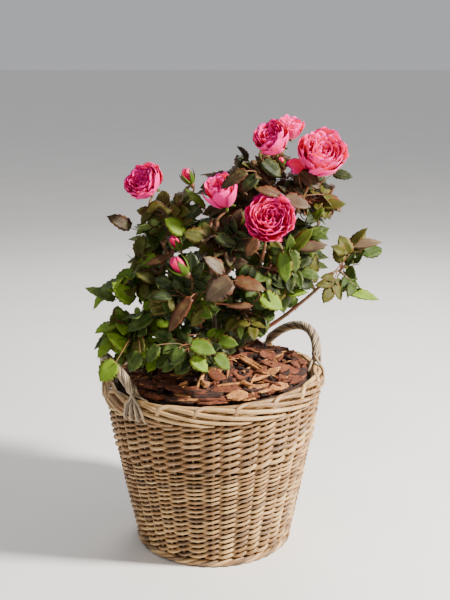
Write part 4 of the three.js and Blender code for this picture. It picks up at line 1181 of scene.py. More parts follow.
def make_handle(name, plan, basket):
    """Rods wound round one another over the loop, fanned out over the rim at both feet."""
    heap = Heap(name + "_rope", ["rope_rods", "worn_rods"])
    rod = basket.handle_rod / MM
    middle = smooth_path(handle_path(plan, 24), HANDLE_STEPS)
    heading = np.gradient(middle, axis=0)
    heading /= np.linalg.norm(heading, axis=1, keepdims=True)
    centre = np.array([0.0, 0.0, middle[:, 2].min()])
    outward = middle - centre
    outward -= heading * np.sum(outward * heading, axis=1, keepdims=True)
    outward /= np.linalg.norm(outward, axis=1, keepdims=True)
    other = np.cross(heading, outward)
    share = np.linspace(0, 1, HANDLE_STEPS)
    winding = HANDLE_RADIUS - rod + 0.2
    draw = seeded(int(plan["middle"]))
    for strand in range(HANDLE_RODS):
        phase = strand / HANDLE_RODS * FULL_TURN + share * FULL_TURN * HANDLE_WINDINGS
        body = middle + winding * (np.cos(phase)[:, None] * outward + np.sin(phase)[:, None] * other)
        trails = []
        for foot, sign in ((middle[0], 1), (middle[-1], -1)):
            angle = math.atan2(foot[1], foot[0])
            fan = ((strand + 0.5) / HANDLE_RODS - 0.5) * HANDLE_FAN + sign * 0.02
            face = HANDLE_FACES[0 if strand % 3 == 2 else 1]
            places = [(0.45, face * 0.75, 15.0), (0.8, face, 8.0), (1.0, face, -2.0),
                      (1.15, face * 0.97, -11.0), (1.25, face * 0.75, -19.0 + 4 * draw())]
            trails.append([in_border(angle + fan * spread, out, up) for spread, out, up in places])
        path = smooth_path(np.concatenate([trails[0][::-1], body[4:-4:3], trails[1]]), HANDLE_POINTS)
        radii = rod * (1.0 + 0.05 * np.sin(np.linspace(0, 30, HANDLE_POINTS) + strand))
        radii[:6] *= np.linspace(0.6, 1, 6)
        radii[-6:] *= np.linspace(1, 0.6, 6)
        heap.add(tube(path, radii, 8, 0.8, 0.8), "worn_rods" if strand % 3 == 1 else "rope_rods")
    piece = heap.made()
    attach(piece, "root")
    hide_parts(name)


# The filling


def mulch_height(x, y):
    """How high the mulch is heaped at a place."""
    distance = np.minimum(np.hypot(x, y) / MULCH_RADIUS, 1)
    edge = rim_height(x) + BORDER_HEIGHT - MULCH_EDGE_DROP
    wave = 2.5 * np.sin(x * 0.075 + 1) * np.cos(y * 0.083)
    return edge + (MULCH_PEAK - edge) * (1 - distance ** 2.2) + wave * (1 - distance)


def chip_shape(place, length, width, depth, turned, corners, draw):
    """A flat broken piece of bark with an uneven outline."""
    angles = (np.arange(corners) + 0.35 * np.array([draw() for _ in range(corners)])) / corners
    angles = angles * FULL_TURN
    rings = []
    for level, size in ((-0.5, 0.84), (-0.15, 1.0), (0.3, 0.98), (0.5, 0.86)):
        radius = size * (0.82 + 0.3 * np.array([draw() for _ in range(corners)]))
        up = level * depth * (0.8 + 0.4 * np.array([draw() for _ in range(corners)]))
        ring = np.stack([np.cos(angles) * radius * length / 2,
                         np.sin(angles) * radius * width / 2, up], -1)
        ring[:, 2] += 0.12 * depth * np.sin(angles * 2 + place[0])
        rings.append(ring)
    points = np.concatenate(rings + [np.array([[0, 0, -0.5 * depth], [0, 0, 0.5 * depth]])])
    quads, caps, *_ = ring_faces(len(rings), corners)
    return points @ turned.T + place, [
        (quads, np.zeros((len(quads), 4, 2))), (caps, np.zeros((len(caps), 3, 2)))]


def turned_by(heading, slope, rock):
    """Axes turned about the upright, then tipped."""
    ch, sh = math.cos(heading), math.sin(heading)
    cs, ss = math.cos(slope), math.sin(slope)
    cr, sr = math.cos(rock), math.sin(rock)
    about = np.array([[ch, -sh, 0], [sh, ch, 0], [0, 0, 1]])
    tip = np.array([[cs, 0, ss], [0, 1, 0], [-ss, 0, cs]])
    roll = np.array([[1, 0, 0], [0, cr, -sr], [0, sr, cr]])
    return about @ tip @ roll


def on_mulch(pixel):
    """The place on the mulch that the camera sees at a pixel of the photograph."""
    for back in np.arange(-MULCH_RADIUS, MULCH_RADIUS):
        point = from_photo(pixel, back)
        if point[2] <= mulch_height(point[0], point[1]) + CHIP_LIFT:
            break
    return point


def add_chips_in_photo(heap):
    """Splinters as tubes and chips as flat pieces, between two pixels each."""
    draw = seeded(71)
    for finish, left, right, width in CHIPS_IN_PHOTO:
        start, end = on_mulch(left), on_mulch(right)
        along = end - start
        if width < SPLINTER_WIDTH:
            path = start + np.linspace(0, 1, 6)[:, None] * along
            radii = width / 2 * np.array([0.45, 0.95, 1.0, 0.9, 0.75, 0.3])
            heap.add(tube(path, radii, 5), finish, smooth=False)
            continue
        slope = math.atan2(along[2], math.hypot(along[0], along[1]))
        turned = turned_by(math.atan2(along[1], along[0]), -slope, 0.3)
        length = np.linalg.norm(along)
        chip = chip_shape((start + end) / 2, length, width, CHIP_THICKNESS, turned, 7, draw)
        heap.add(chip, finish, smooth=False)


def make_mulch(basket):
    """A crumbly bed with bark chips and splinters thrown on it."""
    bpy.ops.object.select_all(action="DESELECT")
    depth = BED_DEPTH * MM
    bpy.ops.mesh.primitive_cylinder_add(
        vertices=BED_SIDES, radius=MULCH_RADIUS * MM, depth=depth, end_fill_type="NGON",
        location=(0, 0, (COMPOST_TOP + COMPOST_ROOM) * MM + depth / 2))
    bed = bpy.context.object
    bed.name = "mulch_bed"
    bpy.ops.object.mode_set(mode="EDIT")
    bpy.ops.mesh.select_mode(type="FACE")
    bpy.ops.mesh.select_all(action="DESELECT")
    bpy.ops.object.mode_set(mode="OBJECT")
    for face in bed.data.polygons:
        face.select = face.normal.z > 0.9
    bpy.ops.object.mode_set(mode="EDIT")
    for _ in range(BED_RINGS):
        bpy.ops.mesh.inset(thickness=BED_RING * MM, use_even_offset=True)
    bpy.ops.mesh.poke()
    bpy.ops.object.mode_set(mode="OBJECT")
    bpy.ops.object.transform_apply(location=True, rotation=False, scale=False)
    flat = points_of(bed)
    raised = flat[:, 2] > COMPOST_TOP + BED_DEPTH / 2
    crumble = ripple(flat, 16, 3) * BED_CRUMBLE
    flat[raised, 2] = (mulch_height(flat[:, 0], flat[:, 1]) - BED_SINK + crumble)[raised]
    reshape(bed, flat, "soil")
    draw = seeded(64)
    heap = Heap("mulch_chips", ["red_bark", "dark_bark", "pale_wood"])
    for k in range(basket.chips):
        distance = MULCH_RADIUS * math.sqrt((k + 0.5) / basket.chips) * 0.99
        if k % EDGE_CHIPS == 0:
            distance = MULCH_RADIUS - EDGE_CHIP_INSET
        angle = k * GOLDEN_TURN + draw() * 0.8
        x, y = distance * math.cos(angle), distance * math.sin(angle)
        if math.hypot(x - STOCK["x"], y - STOCK["y"]) < CHIP_ROOM:
            continue
        sizes = LARGE_CHIP if draw() < LARGE_CHIPS else SMALL_CHIP
        length, width, thick = (least + more * draw() ** power for least, more, power in sizes)
        turned = turned_by(draw() * FULL_TURN, (draw() - 0.5) * 1.25, (draw() - 0.5) * 1.25)
        lift = -1.0 + 7.0 * draw()
        if distance > MULCH_RADIUS - length / 2:
            turned = turned_by(angle + math.pi / 2 + (draw() - 0.5) * 0.5, 0, (draw() - 0.5) * 0.5)
            x, y = x * (1 - width / 4 / distance), y * (1 - width / 4 / distance)
            lift += EDGE_CHIP_LIFT
        place = np.array([x, y, float(mulch_height(x, y)) + lift])
        heap.add(chip_shape(place, length, width, thick, turned, 5 + int(draw() * 3), draw),
                 dealt(draw(), CHIP_MIX), smooth=False)
    for _ in range(basket.splinters):
        distance = (MULCH_RADIUS - SPLINTER_INSET) * math.sqrt(draw())
        angle = draw() * FULL_TURN
        x, y = distance * math.cos(angle), distance * math.sin(angle)
        length = SPLINTER_LENGTH[0] + SPLINTER_LENGTH[1] * draw() ** 1.2
        heading = draw() * FULL_TURN
        slope = (draw() - 0.5) * 0.6
        way = np.array([math.cos(heading), math.sin(heading), math.tan(slope)])
        centre = np.array([x, y, float(mulch_height(x, y)) + SPLINTER_LIFT])
        steps = np.linspace(-0.5, 0.5, 5)[:, None]
        path = centre + steps * length * way
        path[:, 2] += 1.2 * np.sin(steps[:, 0] * 6 + draw() * 6)
        radius = SPLINTER_RADIUS[0] + SPLINTER_RADIUS[1] * draw()
        radii = radius * np.array([0.35, 0.9, 1.0, 0.8, 0.25])
        heap.add(tube(path, radii, 5), dealt(draw(), SPLINTER_MIX), smooth=False)
    add_chips_in_photo(heap)
    chips = heap.made()
    for piece in (bed, chips):
        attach(piece, "root")
        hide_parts("bark_mulch")


# The limbs


def cane_curve(plan):
    """A cane's middle line, from the side or the top of the stock to its tip."""
    inset = 0 if plan["lift"] > TOP_LIFT else CANE_INSET
    start = around(inset, math.radians(plan["side"]), CANE_FOOT + plan["lift"])
    return Curve(start + np.array([STOCK["x"], STOCK["y"], 0]), *plan["aim"])


def prickle(root, outward, along, size):
    """A hooked prickle with a long foot."""
    foot = root - outward * 0.6
    path = [foot + outward * size * out - along * size * down
            for out, down in ((0, 0), (0.45, 0.05), (0.8, 0.2), (1, 0.45))]
    return tube(path, np.array([0.42, 0.26, 0.14, 0.05]) * size, 5)


def make_stock():
    """The knobbly stock that the canes leave from, with the bark's relief."""
    bpy.ops.object.select_all(action="DESELECT")
    bpy.ops.mesh.primitive_circle_add(
        vertices=STOCK_SIDES, radius=STOCK["foot"] * MM, fill_type="NGON",
        location=(STOCK["x"] * MM, STOCK["y"] * MM, STOCK_LEVELS[0][0] * MM))
    stock = bpy.context.object
    stock.name = "stock_bark"
    bpy.ops.object.mode_set(mode="EDIT")
    bpy.ops.mesh.select_all(action="SELECT")
    for (low, narrow), (high, wide) in zip(STOCK_LEVELS, STOCK_LEVELS[1:]):
        bpy.ops.mesh.extrude_region_move(TRANSFORM_OT_translate={"value": (0, 0, (high - low) * MM)})
        bpy.ops.transform.resize(value=(wide / narrow, wide / narrow, 1))
    bpy.ops.mesh.select_all(action="SELECT")
    bpy.ops.mesh.normals_make_consistent(inside=False)
    bpy.ops.object.mode_set(mode="OBJECT")
    bpy.ops.object.transform_apply(location=True, rotation=False, scale=False)
    round_off = stock.modifiers.new("round_off", "SUBSURF")
    round_off.levels = round_off.render_levels = 3
    bpy.ops.object.modifier_apply(modifier=round_off.name)
    points = points_of(stock)
    spoke = points - np.array([STOCK["x"], STOCK["y"], 0])
    spoke[:, 2] = 0
    stretched = points * np.array([1, 1, 0.3])
    relief = ripple(stretched, 7, 8) * 0.9 + ripple(stretched, 3, 9) * 0.35
    points += spoke * (relief / (np.linalg.norm(spoke, axis=1) + 2))[:, None]
    reshape(stock, points, "old_cane")
    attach(stock, "root")
    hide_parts("rootstock")


def make_canes():
    """The canes, swollen at their knuckles, old bark below and young above, with prickles."""
    heap = Heap("canes", ["old_cane", "young_cane", "young_stem"])
    draw = seeded(90)
    for plan in CANES.values():
        curve = cane_curve(plan)
        count = max(int(curve.length / CANE_RING), 20)
        share = np.linspace(0, 1, count)
        foot, tip = plan["radius"]
        radii = foot + (tip - foot) * share
        knuckles = np.zeros(count)
        for place in np.arange(0.12, 0.97, KNUCKLE_STEP / curve.length):
            away = (share - place) * curve.length / KNUCKLE_LENGTH
            knuckles += np.exp(-away ** 2) * KNUCKLE_SWELLING
        radii = radii * (1 + knuckles + 0.04 * np.sin(share * 40 + draw() * 6))
        path = curve.at(share)
        crooked = np.stack([ripple(path, 60, 31), ripple(path, 55, 32), np.zeros(count)], -1) * 1.1
        path += crooked * np.sin(np.pi * share)[:, None]
        split = int(count * OLD_CANE)
        heap.add(tube(path[:split + 1], radii[:split + 1], 10, 0.5, 0), "old_cane")
        heap.add(tube(path[split:], radii[split:], 10, 0, 0.8), "young_cane")
        for _ in range(int(curve.length / PRICKLE_STEP)):
            place = 0.25 + 0.7 * draw()
            index = int(place * (count - 1))
            along = curve.heading(place)
            swing = unit([draw() - 0.5, draw() - 0.5, draw() - 0.5])
            outward = unit(swing - along * swing.dot(along))
            root = path[index] + outward * radii[index] * 0.9
            size = PRICKLE_SIZE[0] + PRICKLE_SIZE[1] * draw()
            heap.add(prickle(root, outward, along, size), "young_stem")
    piece = heap.made()
    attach(piece, "root")
    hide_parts(*CANES)


# The blooms


def axes_facing(face):
    """Three axes, the last one along the given way."""
    face = unit(face)
    side = unit(np.cross([0, 0, 1] if abs(face[2]) < 0.9 else [0, 1, 0], face))
    return np.stack([side, np.cross(face, side), face])


def petal_grid(turned, profile, width, ruffle, phase, rows, cols, point=False, reflex=0.0):
    """A petal's points round the bloom's axis, as distance out and height."""
    s = np.linspace(0, 1, rows)[:, None]
    t = np.linspace(-1, 1, cols)[None, :]
    if point:
        reach = s * np.ones_like(t)
        spread = np.sin(np.pi * (0.14 + 0.84 * s) ** 0.8) + 0.02
    else:
        notch = 0.05 * np.exp(-(t / 0.2) ** 2)
        reach = s * (1 - 0.26 * np.abs(t) ** 2.6 - notch)
        spread = 0.2 + 0.8 * np.sin(np.pi / 2 * np.clip(s / 0.62, 0, 1)) - 0.1 * s ** 3
    way = bezier(reach[..., None], profile)
    radius, height = way[..., 0], way[..., 1]
    middle = radius[:, cols // 2][:, None]
    arc = t * (width / 2) * spread / np.maximum(middle, 0.34 * width)
    wave = np.sin(t * 4.2 + phase) + 0.6 * np.sin(t * 9 + phase * 2.3)
    radius = radius + reflex * s ** 2 * t ** 2 + ruffle * 0.8 * s ** 3 * wave
    height = height + ruffle * s ** 2 * np.cos(t * 5 + phase * 1.7)
    return around(radius, turned + arc, height)


def bloom_petals(heap, base, axes, half, depth, opening, count, thickness, draw):
    """Crumpled petals at the heart inside wide cupped ones, the outermost laid back."""
    for i in range(count):
        outer = (i + 0.5) / count
        tip_radius = half * np.interp(outer, [0, 0.25, 0.55, 0.8, 1], [0.1, 0.36, 0.66, 0.9, 0.98])
        tip_height = depth * np.interp(outer, [0, 0.25, 0.55, 0.8, 1], [0.78, 0.9, 0.95, 0.86, 0.62])
        tip_radius *= 0.92 + 0.14 * draw()
        tip_height *= 0.94 + 0.1 * draw()
        laid = outer ** 1.5 * (0.3 + 0.7 * opening)
        profile = [
            (1.0 + 3.0 * outer, 1.0 - 2.0 * outer),
            (tip_radius * (0.66 + 0.3 * laid) + 2, tip_height * (0.16 - 0.08 * laid)),
            (tip_radius * (1.22 - 0.3 * laid), tip_height * (0.7 + 0.3 * laid)),
            (tip_radius, tip_height),
        ]
        width = half * (0.62 + 0.86 * outer) * (0.9 + 0.22 * draw())
        ruffle = (2.1 + 0.5 * outer) * half / 40 * (0.6 + 0.8 * draw())
        turned = i * GOLDEN_TURN + draw() * 0.6
        grid = petal_grid(turned, profile, width, ruffle, draw() * 6, rows=9, cols=11,
                          reflex=laid * half * 0.07)
        heap.add_blade(grid @ axes + base, thickness, "petal_face", "petal_back")


def add_sepals(heap, base, axes, length, width, spread, draw):
    """Narrow green sepals laid back under a bloom."""
    for i in range(SEPALS):
        turned = i / SEPALS * FULL_TURN + draw() * 0.3
        tip_out = spread * (0.85 + 0.3 * draw())
        tip_up = -length * 0.35 * draw()
        profile = [(1.6, -1.0), (spread * 0.6 + 1.5, 0), (spread * 0.95, tip_up + length * 0.1),
                   (tip_out, tip_up)]
        grid = petal_grid(turned, profile, width, 0.4, draw() * 6, rows=7, cols=5, point=True)
        heap.add_blade(grid @ axes + base, SEPAL_THICKNESS, "fresh_leaf", "pale_under")


def add_bud(petals, stems, greens, tip, aim, size, thickness, draw):
    """A bud of wrapped petals in half-open sepals on its hip."""
    axes = axes_facing(aim)
    aim = axes[2]
    base = tip + aim * 1.5 * size
    stems.add(tube([tip - aim * 2, tip + aim * 0.6 * size, tip + aim * 2.6 * size, tip + aim * 4 * size],
                   np.array([1.2, 2.3, 3.0, 2.2]) * size, 8), "young_stem")
    for i in range(BUD_PETALS):
        outer = (i + 0.5) / BUD_PETALS
        profile = [(1.2, 1.5), (5.2 * size * (0.6 + 0.5 * outer), 5 * size),
                   (6.4 * size * (0.5 + 0.5 * outer), 13 * size),
                   (2.4 * size * (0.4 + outer), 19.5 * size * (1 - 0.12 * outer))]
        grid = petal_grid(i * GOLDEN_TURN, profile, 15 * size, 0.3, draw() * 6, rows=8, cols=7)
        petals.add_blade(grid @ axes + base, thickness, "bud_skin", "bud_skin")
    for i in range(SEPALS):
        opened = 0.15 + 0.55 * draw()
        profile = [(2.0, 1.5), (6.3 * size, 4 * size), ((7 + 3 * opened) * size, 10 * size),
                   ((4.6 + 8 * opened) * size, (17 - 5 * opened) * size)]
        turned = i / SEPALS * FULL_TURN + 0.3
        grid = petal_grid(turned, profile, 6.5 * size, 0.2, 0, rows=8, cols=5, point=True)
        greens.add_blade(grid @ axes + base, BUD_SEPAL_THICKNESS, "pale_under", "fresh_leaf")


def make_blooms(plant):
    """The blooms, each on a stalk from its cane, with a hip and sepals under it."""
    thickness = plant.petal_thickness / MM
    stems = Heap("bloom_stalks", ["young_stem", "fresh_leaf", "pale_under"])
    draw = seeded(17)
    made = []
    for name, plan in BLOOMS.items():
        axes = axes_facing(plan["face"])
        face = axes[2]
        half = plan["width"] / 2
        depth = plan["width"] * (1.15 - 0.62 * plan["open"])
        base = np.array(plan["at"], float) - face * depth * BLOOM_SEAT
        petals = Heap(name + "_petals", ["petal_face", "petal_back"])
        bloom_petals(petals, base, axes, half, depth, plan["open"], plan["petals"], thickness, draw)
        for turned in plan.get("loose", ()):
            profile = [(4, -1), (half * 0.7, 0), (half * 1.05, depth * 0.3), (half * 1.3, depth * 0.16)]
            grid = petal_grid(turned, profile, half * 0.9, half / 16, draw() * 6, rows=9, cols=11)
            petals.add_blade(grid @ axes + base, thickness, "petal_face", "petal_back")
        add_sepals(stems, base, axes, half * 0.55, half * 0.2, half * 0.5, draw)
        curve = cane_curve(CANES[plan["from"]])
        start = curve.at(plan["share"])
        along = curve.heading(plan["share"])
        end = base - face * 5
        span = np.linalg.norm(end - start) * 0.4
        stalk = Curve(start - along * 1.5, start + along * span, end - face * span, end)
        stems.add(tube(stalk.at(np.linspace(0, 1, 16)), np.linspace(*STALK_RADII, 16), 8), "young_stem")
        hip = [end - face * 3, end, end + face * 2.5, end + face * 5.5, end + face * 7]
        stems.add(tube(hip, HIP_RADII, 10), "fresh_leaf")
        piece = petals.made()
        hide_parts(name)
        made.append(piece)
    made.append(stems.made())
    for piece in made:
        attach(piece, "root")


# The foliage


def power_of(point, plan):
    """How far out of a mass's ball a point lies, as the power of the point."""
    return float(np.sum((point - np.array(plan["centre"])) ** 2)) - plan["reach"] ** 2


def inside_space(name, point):
    """Whether a point lies in a mass's own space, or a little over its edge."""
    own = power_of(point, MASSES[name])
    return all(own <= power_of(point, plan) + EDGE_ROOM
               for other, plan in MASSES.items() if other != name)


def seen_at(point):
    """Where the camera sees a point, in the photograph's pixels, and how far off it is."""
    pitch = math.radians(CAMERA_PITCH)
    away = np.asarray(point, float) - np.array(CAMERA_PLACE)
    depth = away[1] * math.cos(pitch) - away[2] * math.sin(pitch)
    lift = away[1] * math.sin(pitch) + away[2] * math.cos(pitch)
    return np.array([PHOTO_WIDTH / 2 + FOCAL_PIXELS * away[0] / depth,
                     PHOTO_HEIGHT / 2 - FOCAL_PIXELS * lift / depth]), depth


def open_in_photo(point):
    """Whether a point shows where the photograph has no leaf of the bush."""
    place = seen_at(point)[0]
    if place[1] > np.interp(place[0], EDGE_ACROSS, EDGE_DOWN):
        return True
    return any(math.hypot(place[0] - x, place[1] - y) < radius for x, y, radius in OPEN_IN_PHOTO)


def from_photo(pixel, back):
    """The point that the camera sees at a pixel of the photograph, at a depth y."""
    pitch = math.radians(CAMERA_PITCH)
    lift = (PHOTO_HEIGHT / 2 - pixel[1]) / FOCAL_PIXELS
    way = np.array([(pixel[0] - PHOTO_WIDTH / 2) / FOCAL_PIXELS,
                    math.cos(pitch) + lift * math.sin(pitch), lift * math.cos(pitch) - math.sin(pitch)])
    return np.array(CAMERA_PLACE) + way * (back - CAMERA_PLACE[1]) / way[1]


def hides_bloom(point):
    """Whether a point lies before one of the front blooms, as the camera sees them."""
    place, depth = seen_at(point)
    for plan in BLOOMS.values():
        middle, far = seen_at(plan["at"])
        radius = FOCAL_PIXELS * plan["width"] / 2 / far
        if depth < far < FRONT_DEPTH and np.linalg.norm(place - middle) < radius + BLOOM_ROOM_SEEN:
            return True
    return False


def leaflet_grid(base, along, up, length, aspect, fold, curl, phase):
    """A serrated leaflet folded along its midrib and bent over towards its tip."""
    rows, cols = LEAFLET_GRID
    s = np.linspace(0, 1, rows)
    side = unit(np.cross(up, along))
    up = np.cross(along, side)
    half = length * aspect / 2 * np.sin(np.pi * s ** 0.84) ** 0.66 + 0.25
    t = np.linspace(-1, 1, cols)
    across = half[:, None] * t[None, :]
    teeth = 1 + 0.075 * np.where(np.arange(rows) % 2, 1, -1)
    teeth[0] = teeth[-1] = 1
    across[:, 0] *= teeth
    across[:, -1] *= teeth
    bend = curl * s ** 1.4
    step = length / (rows - 1)
    far = np.concatenate([[0], np.cumsum(np.cos((bend[1:] + bend[:-1]) / 2))]) * step
    drop = np.concatenate([[0], np.cumsum(np.sin((bend[1:] + bend[:-1]) / 2))]) * step
    wave = 0.07 * half[:, None] * np.sin(s[:, None] * 9 + phase + np.sign(t)[None, :]) * t[None, :] ** 2
    lift = np.abs(across) * math.sin(fold) + wave - drop[:, None]
    flat = across * math.cos(fold)
    far = far[:, None] + np.zeros_like(flat)
    far = far - 0.06 * length * (t[None, :] ** 2) * (s[:, None] > 0.05)
    return base + far[..., None] * along + flat[..., None] * side + lift[..., None] * up


def nearest_on(stem, foot):
    """The place on a stem's outer part that lies nearest to a foot."""
    return min(stem.at(np.linspace(0.3, 1, 15)), key=lambda point: np.linalg.norm(point - foot))


class Foliage:
    """The leaves and twigs as they grow, and what they must keep clear of."""

    def __init__(self, plant):
        self.reach = plant.leaf_reach / MM
        self.thickness = plant.leaf_thickness / MM
        self.fullness = plant.fullness
        self.petal_thickness = plant.petal_thickness / MM
        self.leaves = {look: Heap("leaves_" + look, LEAF_FINISHES) for look in LOOKS}
        self.twigs = Heap("twigs", ["young_stem", "young_cane"])
        self.buds = Heap("bud_petals", ["bud_skin"])
        self.bud_greens = Heap("bud_sepals", LEAF_FINISHES)
        self.middles = []
        self.loops = np.concatenate([handle_path(plan, 24) for plan in HANDLES.values()])

    def clear(self, name, centre, tip, size):
        """Whether a leaflet may lie there."""
        for point in (centre, tip):
            if not inside_space(name, point):
                return False
            floor = mulch_height(point[0], point[1]) + MULCH_ROOM
            if point[2] < floor and np.hypot(*point[:2]) < BED_REACH:
                return False
            if np.min(np.linalg.norm(self.loops - point, axis=1)) < HANDLE_ROOM:
                return False
        low, high = (np.array(corner) / MM for corner in CAD_BOX)
        if np.any(tip < low - BOX_ROOM) or np.any(tip > high + BOX_ROOM):
            return False
        for plan in BLOOMS.values():
            if np.linalg.norm(centre - np.array(plan["at"])) < plan["width"] / 2 + BLOOM_ROOM:
                return False
        if any(hides_bloom(point) or open_in_photo(point) for point in (centre, tip)):
            return False
        if self.middles:
            near = np.linalg.norm(np.array(self.middles) - centre, axis=1)
            if near.min() < size * LEAFLET_ROOM:
                return False
        return True

    def leaf(self, name, look, base, aim, up, reach, draw):
        """A stalk with pairs of leaflets and one at its end. Gives how many it bears."""
        along = unit(aim)
        up = unit(up - along * np.dot(up, along))
        side = np.cross(up, along)
        stalk = reach * LEAF_STALK
        droop = 0.12 + 0.2 * draw()
        share = np.linspace(0, 1, 7)
        path = base + np.outer(share * stalk, along) - np.outer(share ** 2 * stalk * droop, up)
        end_heading = unit(path[-1] - path[-2])
        finishes, under = LOOKS[look]
        finishes = MASSES[name].get("tones", finishes)
        finish = finishes[int(draw() * len(finishes))]
        bore = 0
        for place, sign, size in LEAF_PLAN:
            index = place * 6
            root = path[int(index)] + (path[min(int(index) + 1, 6)] - path[int(index)]) * (index % 1)
            length = reach * size * (0.9 + 0.2 * draw())
            swing = sign * (1.05 + 0.25 * draw())
            heading = unit(end_heading * math.cos(swing) + side * math.sin(swing)
                           + up * (draw() - 0.6) * 0.35)
            tip_over = up + side * (sign * -0.25 + (draw() - 0.5) * 0.5) + along * (draw() - 0.5) * 0.4
            facing = unit(tip_over - heading * np.dot(tip_over, heading))
            centre = root + heading * length * 0.5
            tip = root + heading * length * 0.95
            if not self.clear(name, centre, tip, length):
                continue
            aspect = 0.6 + 0.14 * draw()
            grid = leaflet_grid(root + heading * 1.5, heading, facing, length, aspect,
                                0.1 + 0.3 * draw(), 0.1 + 0.6 * draw(), draw() * 6)
            self.leaves[look].add_blade(grid, self.thickness, finish, under)
            self.twigs.add(tube([root, root + heading * 3], [0.8, 0.6], 5), "young_stem")
            self.middles.append(centre)
            bore += 1
        if bore:
            self.twigs.add(tube(path, np.linspace(*LEAF_STALK_RADII, 7), 5), "young_stem")
        return bore

    def bud_in_photo(self, stem, features, draw):
        """A bud between two pixels of the photograph, on its own stalk from the stem."""
        foot, tip = (from_photo(pixel, features[2]) for pixel in features[:2])
        aim = unit(tip - foot)
        size = np.linalg.norm(tip - foot) / BUD_LENGTH
        root = nearest_on(stem, foot)
        path = smooth_path([root, (root + foot) / 2 - aim * 8, foot - aim * 4, foot], 12)
        self.twigs.add(tube(path, np.linspace(1.8, 1.5, 12), 6), "young_stem")
        add_bud(self.buds, self.twigs, self.bud_greens, foot, aim, size, self.petal_thickness, draw)

    def leaf_in_photo(self, stem, features, draw):
        """A leaflet that the photograph shows clearly, turned to the camera, on its own twig."""
        finish, foot_pixel, tip_pixel, back, aspect = features
        foot, tip = from_photo(foot_pixel, back + 4), from_photo(tip_pixel, back - 4)
        root = nearest_on(stem, foot)
        heading = unit(tip - foot)
        to_camera = unit(np.array(CAMERA_PLACE) - foot)
        facing = to_camera * 0.75 + np.array([0, 0, 0.55]) + np.array([draw() - 0.5, 0, 0]) * 0.3
        facing = unit(facing - heading * facing.dot(heading))
        look = "bronze" if finish in ("bronze_leaf", "copper_leaf", "silver_leaf") else "leaf"
        length = np.linalg.norm(tip - foot)
        grid = leaflet_grid(foot, heading, facing, length * 1.04, aspect, 0.12 + 0.12 * draw(),
                            0.2 + 0.2 * draw(), draw() * 6)
        self.leaves[look].add_blade(grid, self.thickness, finish, LOOKS[look][1])
        middle = (root + foot) / 2 - heading * length * 0.2
        path = smooth_path([root, middle, foot, foot + heading * 4], 10)
        self.twigs.add(tube(path, np.linspace(1.2, 0.7, 10), 5), "young_stem")
        self.middles.append((foot + tip) / 2)

    def along_cane(self, name):
        """Single leaves by the golden turn along a cane's upper part."""
        curve = cane_curve(CANES[name])
        draw = seeded(len(name) * 7 + int(curve.length))
        count = int(curve.length * 0.7 / CANE_LEAF_STEP)
        for k in range(count):
            place = 0.28 + 0.66 * (k + 0.5) / count
            base, along = curve.at(place), curve.heading(place)
            swing = k * GOLDEN_TURN
            side = unit(np.cross(along, [0.2, 0.3, 1]))
            other = np.cross(along, side)
            way = unit(side * math.cos(swing) + other * math.sin(swing) + along * 0.6)
            owner = min(MASSES, key=lambda mass: power_of(base + way * self.reach * 0.6, MASSES[mass]))
            up = unit(np.array([0, 0, 0.85]) + way * 0.4 + np.array([0, -0.6, 0]))
            reach = self.reach * (0.8 + 0.2 * draw())
            self.leaf(owner, MASSES[owner]["look"], base, way, up, reach, draw)

    def grow(self, name, plan):
        """A mass as the solid one is made: a stem, twigs to the tips, leaves along them."""
        draw = seeded(plan["seed"])
        look = plan["look"]
        centre = np.array(plan["centre"], float)
        curve = cane_curve(CANES[plan["from"]])
        start = curve.at(plan["share"])
        heading = curve.heading(plan["share"])
        to_centre = centre - start
        lean = 0 if plan["share"] == 1 else 0.2
        bow = start + heading * np.linalg.norm(to_centre) * 0.3 + to_centre * lean
        stem = Curve(start - heading * 1.5, bow, centre - to_centre * 0.3, centre)
        self.twigs.add(tube(stem.at(np.linspace(0, 1, 14)), np.linspace(*STEM_RADII, 14), 8),
                       "young_cane")

        def up_at(place):
            """The way that a leaf's upper side faces: up, outward and, in front, to the viewer."""
            outward = place - CROWN_AXIS
            outward[2] = 0
            to_front = 0.6 if place[1] < 60 else 0
            return unit(np.array([0, -to_front, 0.85]) + unit(outward) * 0.75
                        + np.array([draw() - 0.5, draw() - 0.5, 0]) * 0.5)

        def twig_to(target):
            """A twig with a leaf at its end and perhaps another halfway. Gives how many."""
            root = stem.at(0.35 + 0.65 * draw())
            away = np.array(target, float) - root
            length = max(np.linalg.norm(away) - self.reach, 3)
            aim = unit(away)
            middle = root + aim * length * 0.5 + np.array([0, 0, length * 0.12])
            tip = root + aim * length
            fit = min(1, np.linalg.norm(away) / (self.reach + 3))
            if not self.leaf(name, look, tip, away, up_at(tip), self.reach * max(fit, 0.7), draw):
                return 0
            twig = tube(smooth_path([root, middle, tip], 8), np.linspace(*TWIG_RADII, 8), 6)
            self.twigs.add(twig, "young_stem")
            if length < 14:
                return 1
            outward = unit(middle - CROWN_AXIS)
            sideways = unit(np.cross(aim, outward)) * (-1 if draw() < 0.5 else 1)
            spread = aim * 0.3 + sideways + outward * 0.5
            more = self.leaf(name, look, middle, spread, up_at(middle), self.reach * 0.88, draw)
            return 2 if more else 1

